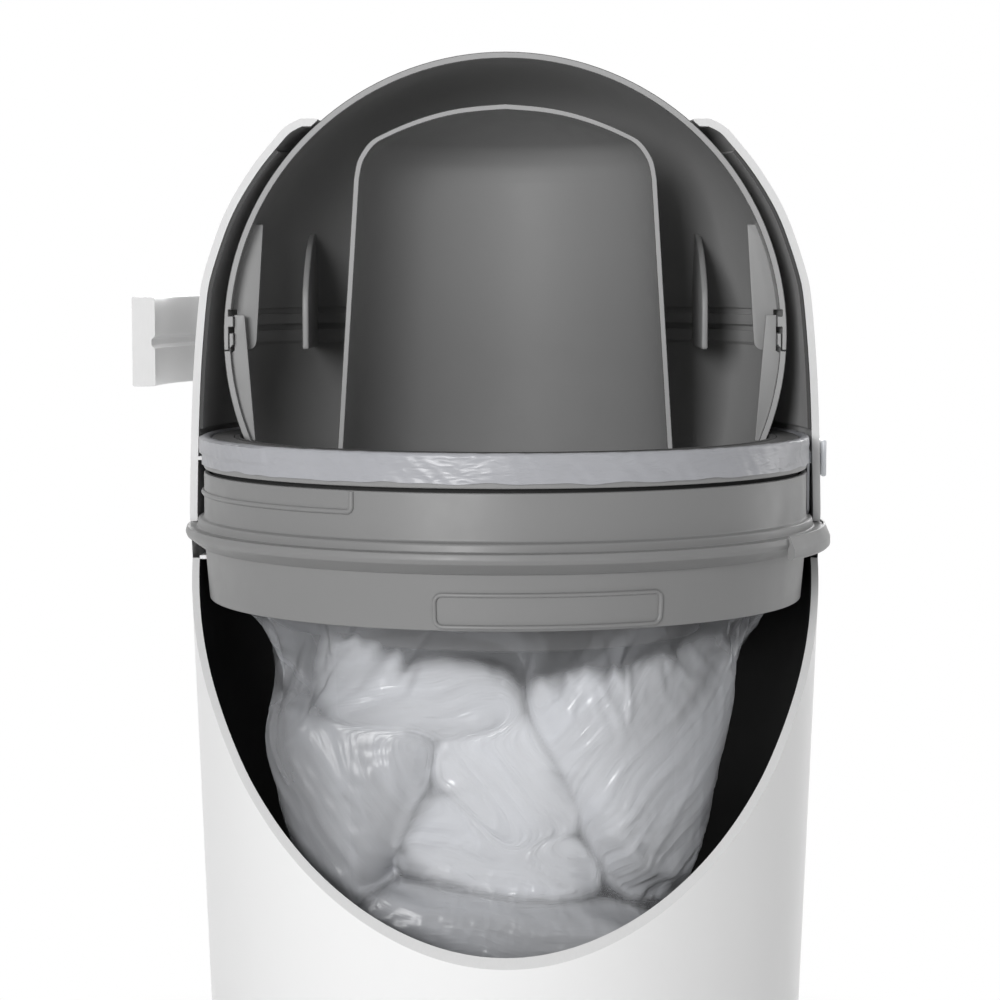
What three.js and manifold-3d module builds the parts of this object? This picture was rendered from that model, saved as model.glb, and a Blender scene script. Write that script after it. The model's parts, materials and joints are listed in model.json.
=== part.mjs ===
// A sectioned nappy bin: a tapered pail with a window cut in its front, a collar that holds
// the liner bag, and a lift-off head whose drum turns over with a swinging handle.
// Millimetres, +Z up, +Y away from the viewer. The origin is the centre of the pail's base.
// Everything above the pail is drawn from the drum's axis, so its heights are measured from there.

import * as THREE from 'three';
import { mergeVertices } from 'three/addons/utils/BufferGeometryUtils.js';
import Module from 'manifold-3d';

const wasm = await Module();
wasm.setup();

// Gaps, cuts and roundness shared by all pieces
const seatGap = 0.3;
const overrun = 20;
const roundSteps = 40;
const pinSteps = 16;
const hexSides = 6;
const quarterTurn = 90;

// Drum: a ball in two halves that snap together, with a cup set into the lower half
const axisHeight = 506;
const drumRadius = 134;
const drumWall = 3;
const drumArcSteps = 10;
const bowlArcSteps = 6;
const runGap = 1.2;
const lapWall = 2.3;
const beadDepth = 2.3;
const seamHeight = -7;
const tongueHeight = 1.4;
const tongueFoot = -4;
const beadBottom = 4.3;
const beadTop = 9.5;
const notchTop = 12.5;

// Cup: drafted wall, rounded shoulder and a crown that stays below the ball's top
const cupWall = 2.6;
const cupShoulderRadius = 71.8;
const crownRoom = 24.4;
const crownRise = 35.6;
const cupDraft = 3.68;
const cupFlangeThickness = 2;
const cupFlangeAngle = 5;
const cupCrownShares = [
  [1, 0], [0.985, 0.18], [0.962, 0.31], [0.892, 0.51], [0.8, 0.61],
  [0.676, 0.726], [0.478, 0.866], [0.26, 0.958], [0, 1],
];

// Ribs inside the drum: centring fins and guide pads of the upper half, snap arms of the lower.
// The fins stand off the cup, and the pads and arms reach in from the ball's skin.
const finRoom = 23.2;
const finThickness = 3;
const finFront = 21;
const finBottom = -7;
const finTop = 53;
const finCurveShares = [[0, 0], [0, 0.38], [0.09, 0.55], [0.28, 0.72], [0.55, 0.87], [1, 1]];
const padFront = 10;
const padThickness = 3;
const padTopReach = 18.3;
const padBottomReach = 14.5;
const armFront = 3;
const armThickness = 3;
const armTop = 10;
const armTopReach = 9.7;
const armBottomReach = 14.5;
const armBottom = -50;

// Head shell: outer radius and height shares, from its rim up to the corner of its lip
const headRoom = 16.8;
const shellDrop = 31.3;
const shellWall = 3.6;
const shellShares = [
  [1, 0], [1, 0.05], [0.994, 0.226], [0.987, 0.351], [0.978, 0.451], [0.966, 0.549], [0.956, 0.599],
  [0.938, 0.649], [0.917, 0.698], [0.893, 0.748], [0.863, 0.797], [0.826, 0.846], [0.783, 0.895],
  [0.731, 0.945], [0.69, 0.98], [0.643, 1],
];
const shellRibRise = 5.1;
const shellRibGap = 0.6;
const linerWall = 1.6;
const linerRise = 2;
const linerDrop = 14.7;

// Pail: its rim stands a little inside the head's, its front is cut away below the collar
const pailStep = 0.6;
const pailDraw = 15.7;
const pailWall = 3.5;
const pailFloor = 4;
const pailBaseChamfer = 3;
const windowBelow = 8.1;
const windowInset = 6.7;
const windowDrop = 163.8;
const windowShares = [
  [0, 0], [0.4, 0.364], [0.59, 0.56], [0.683, 0.656], [0.8585, 0.841], [1, 1], [1.25, 1.305],
];
const pailRibDrops = [1.3, 7.8];
const pailRibGaps = [1.4, 0];
const ribThickness = 1.8;
const ribLength = 24;

// Collar: a ring that sits on the pail's rim and carries the bag ring. The flat top of its lip,
// where the head's rim rests, stands above the ball's lowest point by the lip's lift.
const lipLift = 45.3;
const collarInset = 3.6;
const collarWall = 2.5;
const collarRise = 25.4;
const beadProud = 2.9;
const beadRise = 3.7;
const beadFlank = 0.8;
const lipProud = 1.2;
const lipRoot = 4.2;
const lipEdge = 0.7;
const lipHalf = 2.6;
const lipDepth = 4.6;
const lipUndercut = 0.8;
const chamferDepth = 4.6;
const chamferProud = 1.8;
const skirtInset = 0.3;
const skirtDraw = 2.1;
const skirtDepth = 25.1;
const ledgeDepth = 3.7;
const ledgeThickness = 2.2;
const ledgeDrop = 7;

// Raised marks on the collar: a stepped line at the upper left and a plain frame in front
const markHeight = 1.3;
const stepMarkRise = 17.2;
const stepMarkWidth = 2.4;
const stepMarkEnd = -65.5;
const stepMarkStart = 2;
const frameLeft = -32;
const frameRight = 68.8;
const frameHeight = 16;
const frameFoot = 0.8;
const frameWidth = 2.4;
const frameCorner = 4.5;
const cornerSteps = 4;

// Keeper: a thicker stretch of the lip with the slot that takes the lock's hook
const keeperProud = 2.5;
const keeperRise = 1;
const keeperShoulder = 4.8;
const keeperDepth = 9.7;
const keeperSpan = 33;
const keeperChamfer = 1.3;

// Bag ring, and the film that is folded over it
const ringFoot = 1.8;
const ringHeight = 15.5;
const ringRimWall = 2.4;
const ringSpigotWall = 2.2;
const filmThickness = 0.6;
const cuffLift = 2.5;
const bagFloorGap = 0.3;
const bagShares = [
  [0.97, 0.05], [0.86, 0.14], [0.83, 0.26], [0.84, 0.62], [0.8, 0.83], [0.68, 0.94], [0, 1],
];

// Throat: a bowl under the drum that ends in a short tube
const flangeDrop = 1;
const flangeThickness = 2.2;
const throatWall = 2.2;
const throatMargin = 7.7;
const tubeLength = 38.5;
const throatArcSteps = 5;
const sealWidth = 2.1;
const shelfDepth = 3.2;
const shelfWall = 2.3;
const sealGap = 0.6;
const sealProud = 0.3;

// Handle: a band bent round the head, on a hub at the drum's axis
const handleRoom = 15.9;
const bandThickness = 10.9;
const bandTop = 18.6;
const bandBottom = -19.9;
const bandEdge = 1.2;
const grooveHeight = -3;
const grooveHalf = 3;
const grooveDepth = 1.7;
const hubRadius = 24;
const hubGap = 1.6;

// Axle, bush, stop and fasteners, along the drum's axis
const axleRadius = 5.5;
const axleGap = 0.4;
const axleHeadWidth = 5.5;
const axleHeadThickness = 3.2;
const axleHeadSink = 2.5;
const axleInset = 9.6;
const hexGap = 0.35;
const washerGap = 0.4;
const washerThickness = 1.4;
const washerWidth = 6.5;
const fingerWidth = 7;
const fingerLength = 2.8;
const bushWall = 3.1;
const bushGap = 1;
const bushFlangeWidth = 6.2;
const bushFlangeThickness = 1.7;
const bushScrewRadius = 1.5;
const bushScrewHeadRadius = 2.4;
const bushScrewHeadThickness = 1.5;
const bushScrewLength = 4.2;
const screwRadius = 2;
const screwHeadRadius = 7.5;
const screwHeadThickness = 3;
const screwDepth = 12;
const recessWidth = 2.5;
const capThickness = 2.6;
const capInset = 0.4;

// Lock: a slider that runs round the rim, with a hook that goes under the collar's flange.
// Its lengths run along the rim, and its heights hang from the head's liner.
const lockClear = 1.1;
const lockPlate = 1.1;
const lockHead = 10;
const lockStart = 2;
const lockPlateLength = 10;
const lockPlateLift = 5.2;
const lockTravel = 8;
const stemStart = 4;
const stemWidth = 4;
const hookReach = 6;
const hookThickness = 1.8;
const lockPadThickness = 2.5;
const lockPadRise = 4.5;
const lockPadHeight = 17.5;
const lockPadStart = 0.5;
const lockPadLength = 13.5;
const lockPadEdge = 1;
const neckDrop = 2;
const neckHeight = 4.5;
const neckStart = 4;
const neckWidth = 6;
const lockGap = 0.5;

// Materials
const plastic = (color, roughness) => new THREE.MeshStandardMaterial({ color, roughness, metalness: 0 });
const whitePlastic = plastic('#f2f2f2', 0.35);
const greyPlastic = plastic('#8a8a8a', 0.5);
const midPlastic = plastic('#6e6e6e', 0.5);
const darkPlastic = plastic('#3d3d3d', 0.55);
const rubber = plastic('#2a2a2a', 0.8);
const film = plastic('#cfd0d2', 0.3);
const steel = new THREE.MeshStandardMaterial({ color: '#9a9c9e', roughness: 0.3, metalness: 1 });

// Helpers for the sizes below: a ball's half width at a height, and the angle up to that height
const toRadians = (degrees) => THREE.MathUtils.degToRad(degrees);
const ballWidthAt = (height, radius) => Math.sqrt(radius * radius - height * height);
const angleAt = (height, radius) => THREE.MathUtils.radToDeg(Math.asin(height / radius));

// Radii worked out from the ones above, from the drum outwards
const lapRadius = drumRadius - lapWall;
const tongueRadius = lapRadius - beadDepth;
const innerRadius = drumRadius - drumWall;
const bowlRadius = drumRadius + runGap;
const shellRadius = drumRadius + headRoom;
const pailRimRadius = shellRadius - pailStep;
const pailBaseRadius = pailRimRadius - pailDraw;
const collarRadius = pailRimRadius - pailWall - collarInset;
const beadRadius = collarRadius + beadProud;
const lipRadius = shellRadius + lipProud;
const lipInner = collarRadius + lipRoot;
const chamferTopRadius = lipRadius - lipUndercut;
const chamferBottomRadius = collarRadius + chamferProud;
const skirtTopRadius = collarRadius - skirtInset;
const skirtBottomRadius = skirtTopRadius - skirtDraw;
const keeperRadius = lipRadius + keeperProud;
const keeperInner = shellRadius + seatGap;
const ringRimInner = collarRadius - ringRimWall;
const ringInner = collarRadius - collarWall - ledgeDepth;
const flangeRadius = ringRimInner - filmThickness - 3 * seatGap;
const bandInner = shellRadius + handleRoom;
const bandOuter = bandInner + bandThickness;
const lockOuter = pailRimRadius - pailWall - lockClear;
const lockInner = lockOuter - lockPlate;
const lockPadInner = shellRadius + seatGap;
const lockPadRadius = lockPadInner + lockPadThickness;
const outermost = bandOuter + overrun;

// Heights worked out from the lip's top and from the drum's axis
const shellTop = drumRadius - shellDrop;
const lipTop = lipLift - drumRadius;
const shellRim = lipTop + seatGap;
const collarTop = lipTop + collarRise;
const beadCrest = lipTop + beadRise;
const beadStart = beadCrest + beadFlank;
const lipMiddle = lipTop - lipHalf;
const chamferTop = lipTop - lipDepth;
const chamferBottom = chamferTop - chamferDepth;
const skirtBottom = chamferBottom - skirtDepth;
const chamferRatio = chamferDepth / (chamferTopRadius - chamferBottomRadius);
const chamferAt = (radius) => chamferBottom + (radius - chamferBottomRadius) * chamferRatio;
const rimOuter = chamferAt(pailRimRadius) - seatGap / Math.cos(Math.atan(chamferRatio));
const rimInner = rimOuter - pailWall * chamferRatio;
const pailTaper = pailDraw / (axisHeight + rimOuter);
const ledgeTop = collarTop - ledgeDrop;
const stepMarkHeight = lipTop + stepMarkRise;
const frameBottom = skirtBottom + frameFoot;
const frameTop = frameBottom + frameHeight;
const keeperTop = lipTop + keeperRise;
const keeperEdge = lipTop - keeperShoulder;
const keeperBottom = lipTop - keeperDepth;
const ringBottom = collarTop + ringFoot;
const filmTop = ringBottom + ringHeight;
const filmCuff = ringBottom + cuffLift;
const ringTop = filmTop - filmThickness - seatGap;
const flangeTop = filmTop - flangeDrop;
const ringShelf = flangeTop - flangeThickness - filmThickness - 2 * seatGap;
const linerBottom = filmTop + linerRise;
const linerTop = shellTop - linerDrop;
const windowTop = chamferBottom - windowBelow;
const windowDepth = pailRimRadius - windowInset;
const lockTop = linerBottom - lockHead;
const hookTop = keeperBottom - seatGap;
const hookBottom = hookTop - hookThickness;
const neckTop = lockTop - neckDrop;
const neckBottom = neckTop - neckHeight;

// Cup and throat: the cup's mouth is where its wall meets the ball, and the tube is wider than it
const draftRatio = Math.tan(toRadians(cupDraft));
const cupCrownHeight = drumRadius - crownRoom;
const cupShoulderHeight = cupCrownHeight - crownRise;
const cupRadiusAt = (height) => cupShoulderRadius + (cupShoulderHeight - height) * draftRatio;
const cupMouthHeight = cupMeetHeight(drumRadius);
const throatRadius = cupRadiusAt(cupMouthHeight) + throatMargin;
const throatBottom = -ballWidthAt(throatRadius, bowlRadius) - tubeLength;
const shelfRadius = ballWidthAt(flangeTop, bowlRadius) + sealWidth;

// Places along the drum's axis, from the axle's head out to the hub, and the bush's radii
const axleHeadFace = innerRadius - axleHeadSink;
const washerFace = drumRadius + washerGap;
const washerEnd = washerFace + washerThickness;
const bushInnerEnd = washerEnd + washerGap;
const bushFlangeFace = washerEnd + bushGap;
const stopArcFace = washerFace + washerGap / 2;
const hubFace = shellRadiusAt(-hubRadius) + hubGap;
const bushOuterEnd = hubFace - bushGap;
const axleEnd = bandOuter - axleInset;
const axleHole = axleRadius + axleGap;
const axleHeadRadius = axleRadius + axleHeadWidth;
const washerRadius = axleRadius + washerWidth;
const fingerReach = washerRadius + fingerLength;
const stopArcInner = washerRadius + 2 * seatGap;
const bushRadius = axleHole + bushWall;
const bushHole = bushRadius + seatGap;
const bushFlangeRadius = fingerReach + bushFlangeWidth;
const bushScrewCircle = (fingerReach + bushFlangeRadius) / 2;
const recessRadius = screwHeadRadius + recessWidth;

// Turns a closed three.js geometry into a solid that can be cut and joined
function solidFrom(geometry) {
  geometry.deleteAttribute('normal');
  geometry.deleteAttribute('uv');
  const merged = mergeVertices(geometry);
  const corners = merged.index.array;
  const kept = [];
  for (let i = 0; i < corners.length; i += 3) {
    const [a, b, c] = [corners[i], corners[i + 1], corners[i + 2]];
    if (a !== b && b !== c && c !== a) kept.push(a, b, c);
  }
  const vertProperties = Float32Array.from(merged.attributes.position.array);
  const triVerts = Uint32Array.from(kept);
  return new wasm.Manifold(new wasm.Mesh({ numProp: 3, vertProperties, triVerts }));
}

function geometryFrom(solid) {
  const { vertProperties, triVerts } = solid.getMesh();
  const geometry = new THREE.BufferGeometry();
  geometry.setAttribute('position', new THREE.BufferAttribute(vertProperties, 3));
  geometry.setIndex(new THREE.BufferAttribute(triVerts, 1));
  geometry.computeVertexNormals();
  return geometry;
}

// A ring turned about the vertical axis from [radius, height] points, outer side going up
function turned(outline, steps = roundSteps) {
  const points = outline.map(([radius, height]) => new THREE.Vector2(radius, height));
  const onAxis = outline[0][0] === 0 && outline.at(-1)[0] === 0;
  if (!onAxis) points.push(points[0].clone());
  const geometry = new THREE.LatheGeometry(points, steps);
  geometry.rotateX(toRadians(quarterTurn));
  return solidFrom(geometry);
}

function box(x0, x1, y0, y1, z0, z1) {
  const geometry = new THREE.BoxGeometry(x1 - x0, y1 - y0, z1 - z0);
  geometry.translate((x0 + x1) / 2, (y0 + y1) / 2, (z0 + z1) / 2);
  return solidFrom(geometry);
}

// A disc or pin along the drum's axis, from y0 to y1
function disc(radius, y0, y1, steps = pinSteps) {
  const geometry = new THREE.CylinderGeometry(radius, radius, y1 - y0, steps);
  geometry.translate(0, (y0 + y1) / 2, 0);
  return solidFrom(geometry);
}

// Prisms from an outline seen along X (points are y, z) or along Y (points are x, z)
function extruded(points, length, basis) {
  const shape = new THREE.Shape(points.map(([u, v]) => new THREE.Vector2(u, v)));
  const geometry = new THREE.ExtrudeGeometry(shape, { depth: length, bevelEnabled: false });
  geometry.applyMatrix4(new THREE.Matrix4().makeBasis(...basis));
  return geometry;
}

const xAxis = new THREE.Vector3(1, 0, 0);
const yAxis = new THREE.Vector3(0, 1, 0);
const zAxis = new THREE.Vector3(0, 0, 1);

function prismAlongX(points, x0, x1) {
  const geometry = extruded(points, x1 - x0, [yAxis, zAxis, xAxis]);
  return solidFrom(geometry.translate(x0, 0, 0));
}

function prismAlongY(points, y0, y1) {
  const geometry = extruded(points, y1 - y0, [xAxis, zAxis, yAxis.clone().negate()]);
  return solidFrom(geometry.translate(0, y1, 0));
}

// Points of an arc centred on the drum's centre, angles in degrees up from level
function arc(radius, from, to, steps) {
  const points = [];
  for (let i = 0; i <= steps; i += 1) {
    const angle = i === steps ? to : from + ((to - from) * i) / steps;
    const onAxis = Math.abs(angle) === quarterTurn;
    const width = onAxis ? 0 : radius * Math.cos(toRadians(angle));
    points.push([width, radius * Math.sin(toRadians(angle))]);
  }
  return points;
}

// A line moved sideways to the left of its direction, with mitred corners
function offsetLine(points, distance) {
  const normals = points.slice(1).map(([r, z], i) => {
    const [r0, z0] = points[i];
    const length = Math.hypot(r - r0, z - z0);
    return [-(z - z0) / length, (r - r0) / length];
  });
  return points.map(([r, z], i) => {
    const before = normals[Math.max(i - 1, 0)];
    const after = normals[Math.min(i, normals.length - 1)];
    const sum = [before[0] + after[0], before[1] + after[1]];
    const scale = (2 * distance) / (sum[0] * sum[0] + sum[1] * sum[1]);
    return [r === 0 ? 0 : r + sum[0] * scale, z + sum[1] * scale];
  });
}

// The radius at which a rising line passes a height
function radiusOn(line, height) {
  const i = line.findIndex(([, z]) => z >= height);
  const [[r0, z0], [r1, z1]] = [line[i - 1], line[i]];
  return r0 + ((r1 - r0) * (height - z0)) / (z1 - z0);
}

const rearHalf = () => box(-outermost, outermost, 0, outermost, -outermost, outermost);
const ring = (inner, outer, low, high) => turned([[inner, low], [outer, low], [outer, high], [inner, high]]);
const mirrorX = (solid) => solid.mirror([1, 0, 0]);
const onBothSides = (solid) => solid.add(mirrorX(solid));

// The stretch of a ring at the right side, +X, between two places along Y
function rightStretch(solid, y0, y1) {
  return solid.intersect(box(0, outermost, y0, y1, -outermost, outermost));
}

// The hole for the axle through both halves of the drum
const axleBore = () => disc(axleHole, 0, drumRadius + overrun);

// Upper half of the drum: a dome with a lap that covers the lower half's tongue
function domeOutline() {
  const lapEnd = seamHeight + seatGap;
  return [
    ...arc(drumRadius, angleAt(lapEnd, drumRadius), quarterTurn, drumArcSteps),
    ...arc(innerRadius, quarterTurn, angleAt(notchTop, innerRadius), drumArcSteps - 1),
    [lapRadius, notchTop], [lapRadius, beadTop],
    [tongueRadius, beadTop], [tongueRadius, beadBottom],
    [lapRadius, beadBottom], [lapRadius, lapEnd],
  ];
}

// Space inside the drum that the dome's ribs may fill: to the wall above, clear of the tongue below
function domeRoom() {
  const above = turned([
    [0, beadBottom], [lapRadius, beadBottom], [lapRadius, beadTop],
    ...arc(innerRadius + seatGap, angleAt(notchTop, innerRadius), quarterTurn, drumArcSteps - 1),
  ]);
  const clear = tongueRadius - 2 * seatGap;
  const join = beadBottom + seatGap;
  const below = turned([[0, finBottom], [clear, finBottom], [clear, join], [0, join]]);
  return above.add(below);
}

function fins() {
  const distance = cupShoulderRadius + finRoom;
  const back = ballWidthAt(distance, innerRadius) - finFront;
  const rise = finTop - finBottom;
  const front = finCurveShares.map(([u, v]) => [finFront + u * back, finBottom + v * rise]);
  const outline = [[drumRadius, finBottom], [drumRadius, finTop], ...front.reverse()];
  return prismAlongX(outline, distance, distance + finThickness);
}

function guidePads() {
  const outline = [
    [drumRadius - padBottomReach, finBottom], [drumRadius, finBottom],
    [drumRadius, finTop], [drumRadius - padTopReach, finTop],
  ];
  return prismAlongY(outline, padFront, padFront + padThickness);
}

function drumDome() {
  const ribs = onBothSides(fins().add(guidePads())).intersect(domeRoom());
  return turned(domeOutline()).intersect(rearHalf()).add(ribs).subtract(axleBore());
}

// Cup wall from its shoulder to the middle of its crown
function crownLine(radius, crown) {
  const rise = crown - cupShoulderHeight;
  return cupCrownShares.map(([u, v]) => [u * radius, cupShoulderHeight + v * rise]);
}

// Where the cup's outer wall, or a line beside it, meets a ball of some radius
function cupMeetHeight(ballRadius, beside = 0) {
  const start = cupRadiusAt(0) + beside;
  const square = 1 + draftRatio * draftRatio;
  const half = start * draftRatio;
  const rest = start * start - ballRadius * ballRadius;
  return (half - Math.sqrt(half * half - square * rest)) / square;
}

// Cup: a flange round its wall lies inside the lower half's skin, and its mouth ends in that skin
function cupOutline() {
  const mouthInner = cupRadiusAt(cupMouthHeight) - cupWall;
  const flangeOuter = innerRadius - 2 * seatGap;
  const flangeInner = flangeOuter - cupFlangeThickness;
  const foot = angleAt(cupMeetHeight(flangeOuter), flangeOuter);
  const root = angleAt(cupMeetHeight(flangeInner), flangeInner);
  return [
    [mouthInner, cupMouthHeight], [ballWidthAt(cupMouthHeight, drumRadius), cupMouthHeight],
    ...arc(flangeOuter, foot, foot + cupFlangeAngle, 1),
    ...arc(flangeInner, foot + cupFlangeAngle, root, 1),
    ...crownLine(cupShoulderRadius, cupCrownHeight),
    ...crownLine(cupShoulderRadius - cupWall, cupCrownHeight - cupWall).reverse(),
  ];
}

function drumCup() {
  return turned(cupOutline()).intersect(rearHalf());
}

// Lower half of the ball: from the hole for the cup up to the tongue that the dome laps
function bowlOutline() {
  const outerFoot = angleAt(cupMeetHeight(drumRadius, seatGap), drumRadius);
  const innerFoot = angleAt(cupMeetHeight(innerRadius, seatGap), innerRadius);
  const tongueStart = tongueFoot - (innerRadius - tongueRadius);
  return [
    ...arc(drumRadius, outerFoot, angleAt(seamHeight, drumRadius), bowlArcSteps),
    [lapRadius - seatGap, seamHeight], [lapRadius - seatGap, tongueHeight],
    [tongueRadius, tongueHeight], [tongueRadius, tongueFoot],
    ...arc(innerRadius, angleAt(tongueStart, innerRadius), innerFoot, bowlArcSteps),
  ];
}

// Snap arms: flat plates that stand up from the lower half inside the dome's bead
function snapArms() {
  const outline = [
    [drumRadius - armBottomReach, armBottom], [drumRadius, armBottom],
    [drumRadius, armTop], [drumRadius - armTopReach, armTop],
  ];
  const plate = prismAlongY(outline, armFront, armFront + armThickness);
  const foot = seamHeight;
  const clear = tongueRadius - seatGap;
  const wall = innerRadius + seatGap;
  const below = turned([...arc(wall, -quarterTurn, angleAt(foot, wall), drumArcSteps), [0, foot]]);
  const above = turned([[0, foot - seatGap], [clear, foot - seatGap], [clear, armTop], [0, armTop]]);
  return onBothSides(plate.intersect(below.add(above)));
}

function drumBowl() {
  return turned(bowlOutline()).intersect(rearHalf()).add(snapArms()).subtract(axleBore());
}

// Head shell: the white outer wall, its lip close round the drum
function shellLine() {
  const rise = shellTop - shellRim;
  return shellShares.map(([u, v]) => [u * shellRadius, shellRim + v * rise]);
}

function shellRadiusAt(height) {
  return radiusOn(shellLine(), height);
}

function shellOutline() {
  const outer = [...shellLine(), [ballWidthAt(shellTop, bowlRadius), shellTop]];
  const inner = offsetLine(outer, shellWall);
  const lipUnder = inner.at(-1)[1];
  inner[inner.length - 1] = [ballWidthAt(lipUnder, bowlRadius), lipUnder];
  inner[0] = [shellRadius - shellWall, shellRim];
  return [...outer, ...inner.reverse()];
}

// A short rib across the gap to the film, at the left
function shellRib() {
  const inner = collarRadius + filmThickness + seatGap + shellRibGap;
  const low = collarTop + shellRibRise - ribThickness / 2;
  const band = ring(inner, shellRadius - shellWall / 2, low, low + ribThickness);
  return mirrorX(rightStretch(band, 0, ribLength));
}

// Slot in the shell that the lock's neck runs in
function lockSlot() {
  const slot = ring(lockInner, shellRadius + overrun, neckBottom - lockGap, neckTop + lockGap);
  return rightStretch(slot, neckStart - lockGap, neckStart + neckWidth + lockTravel + lockGap);
}

function headShell() {
  const wall = turned(shellOutline()).intersect(rearHalf());
  return wall.subtract(lockSlot()).add(shellRib()).subtract(disc(bushHole, 0, outermost));
}

// Head liner: the dark inner wall that carries the bush
function linerOutline() {
  const outer = offsetLine(shellLine(), shellWall + seatGap);
  const kept = outer.filter(([, z]) => z > linerBottom && z < linerTop);
  const line = [
    [radiusOn(outer, linerBottom), linerBottom], ...kept, [radiusOn(outer, linerTop), linerTop],
  ];
  return [...line, ...offsetLine(line, linerWall).reverse()];
}

// Two screws at the side of the flange that has no stop arc
function bushScrewPlaces() {
  const offset = bushScrewCircle * Math.SQRT1_2;
  return [1, -1].map((side) => [-offset, side * offset]);
}

function bushScrewHoles(y0, y1) {
  const hole = disc(bushScrewRadius + seatGap, y0, y1);
  const [upper, lower] = bushScrewPlaces().map(([x, z]) => hole.translate([x, 0, z]));
  return upper.add(lower);
}

function headLiner() {
  const wall = turned(linerOutline()).intersect(rearHalf());
  return wall.subtract(disc(bushHole, 0, outermost)).subtract(bushScrewHoles(0, outermost));
}

// Bush: a flanged sleeve, with an arc of its flange that stops the washer's finger
function pivotBush() {
  const flangeEnd = bushFlangeFace + bushFlangeThickness;
  const sleeve = disc(bushRadius, bushInnerEnd, bushOuterEnd);
  const flange = disc(bushFlangeRadius, bushFlangeFace, flangeEnd);
  const arcBlock = disc(bushFlangeRadius, stopArcFace, flangeEnd)
    .subtract(disc(stopArcInner, 0, outermost))
    .intersect(box(fingerWidth / 2 + seatGap, outermost, 0, outermost, -outermost, outermost));
  const body = sleeve.add(flange).add(arcBlock);
  return body.subtract(disc(axleHole, 0, outermost)).subtract(bushScrewHoles(0, outermost));
}

function bushScrew([x, z]) {
  const headFace = bushFlangeFace - seatGap;
  const head = disc(bushScrewHeadRadius, headFace - bushScrewHeadThickness, headFace);
  return head.add(disc(bushScrewRadius, headFace, headFace + bushScrewLength)).translate([x, 0, z]);
}

// Axle with a round head inside the drum and a hexagonal end that drives the handle's hub
function drumAxle() {
  const head = disc(axleHeadRadius, axleHeadFace - axleHeadThickness, axleHeadFace);
  const round = disc(axleRadius, axleHeadFace - axleHeadThickness, bushOuterEnd);
  const hex = disc(axleRadius, bushOuterEnd, axleEnd, hexSides);
  const tapped = disc(screwRadius + seatGap, axleEnd - screwDepth - screwHeadThickness, outermost);
  return head.add(round).add(hex).subtract(tapped);
}

function stopWasher() {
  const half = fingerWidth / 2;
  const finger = box(-half, half, washerFace, washerEnd, -fingerReach, -axleRadius);
  return disc(washerRadius, washerFace, washerEnd).add(finger).subtract(disc(axleHole, 0, outermost));
}

// Handle: the section of its band, with a shallow groove along the inner face
function bandOutline() {
  return [
    [bandInner + bandEdge, bandBottom], [bandOuter - bandEdge, bandBottom],
    [bandOuter, bandBottom + bandEdge], [bandOuter, bandTop - bandEdge],
    [bandOuter - bandEdge, bandTop], [bandInner + bandEdge, bandTop],
    [bandInner, bandTop - bandEdge], [bandInner, grooveHeight + grooveHalf],
    [bandInner + grooveDepth, grooveHeight + grooveHalf / 2],
    [bandInner + grooveDepth, grooveHeight - grooveHalf / 2],
    [bandInner, grooveHeight - grooveHalf], [bandInner, bandBottom + bandEdge],
  ];
}

function handleBand() {
  const corner = box(-outermost, 0, 0, outermost, -outermost, outermost);
  const band = turned(bandOutline()).intersect(corner);
  const hub = disc(hubRadius, hubFace, bandOuter, roundSteps);
  const drive = disc(axleRadius + hexGap, 0, outermost, hexSides);
  const recess = disc(recessRadius, axleEnd + seatGap, outermost);
  return band.add(hub).subtract(drive).subtract(recess);
}

function handleScrew() {
  const face = axleEnd + 2 * seatGap;
  const head = disc(screwHeadRadius, face, face + screwHeadThickness);
  return head.add(disc(screwRadius, face - screwDepth, face));
}

function hubCap() {
  const outer = bandOuter - capInset;
  return disc(recessRadius - capInset, outer - capThickness, outer);
}

// The lip's rounded edge, and the deeper edge that it has along the keeper
const lipOutline = [[chamferTopRadius, chamferTop], [lipRadius, lipMiddle], [lipRadius - lipEdge, lipTop]];
const keeperOutline = [
  [keeperInner, chamferAt(keeperInner)], [keeperInner, keeperBottom],
  [keeperRadius - keeperChamfer, keeperBottom], [keeperRadius, keeperBottom + keeperChamfer],
  [keeperRadius, keeperEdge],
  [lipRadius, keeperTop], [keeperInner, keeperTop], [keeperInner, lipTop],
];

// Collar: wall, bead, lip, chamfer, skirt and inner ledge
function collarOutline(edge) {
  const wallInner = collarRadius - collarWall;
  const underWall = skirtTopRadius - collarWall;
  return [
    [skirtBottomRadius - collarWall, skirtBottom], [skirtBottomRadius, skirtBottom],
    [skirtTopRadius, chamferBottom - seatGap], [chamferBottomRadius, chamferBottom],
    ...edge, [lipInner, lipTop], [beadRadius + seatGap, lipTop + seatGap], [beadRadius, beadCrest],
    [collarRadius, beadStart], [collarRadius, collarTop], [wallInner, collarTop],
    [wallInner, ledgeTop], [ringInner, ledgeTop], [ringInner, ledgeTop - ledgeThickness],
    [underWall, ledgeTop - ledgeThickness],
  ];
}

// The collar's wall and skirt grown outwards: what a raised mark is trimmed to
function markSkin() {
  const wall = ring(collarRadius - collarWall / 2, collarRadius + markHeight, beadStart, collarTop);
  const skirt = turned([
    [skirtBottomRadius - collarWall / 2, skirtBottom], [skirtBottomRadius + markHeight, skirtBottom],
    [skirtTopRadius + markHeight, chamferBottom], [skirtTopRadius - collarWall / 2, chamferBottom],
  ]);
  return wall.add(skirt);
}

function stepMark() {
  const low = stepMarkHeight - stepMarkWidth;
  const backLine = box(-outermost, outermost, stepMarkStart, outermost, low, stepMarkHeight);
  const leftLine = box(-outermost, stepMarkEnd, -outermost, outermost, low, stepMarkHeight);
  const upright = box(stepMarkEnd - stepMarkWidth, stepMarkEnd, -outermost, 0, low, collarTop);
  return backLine.add(leftLine).add(upright);
}

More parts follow.
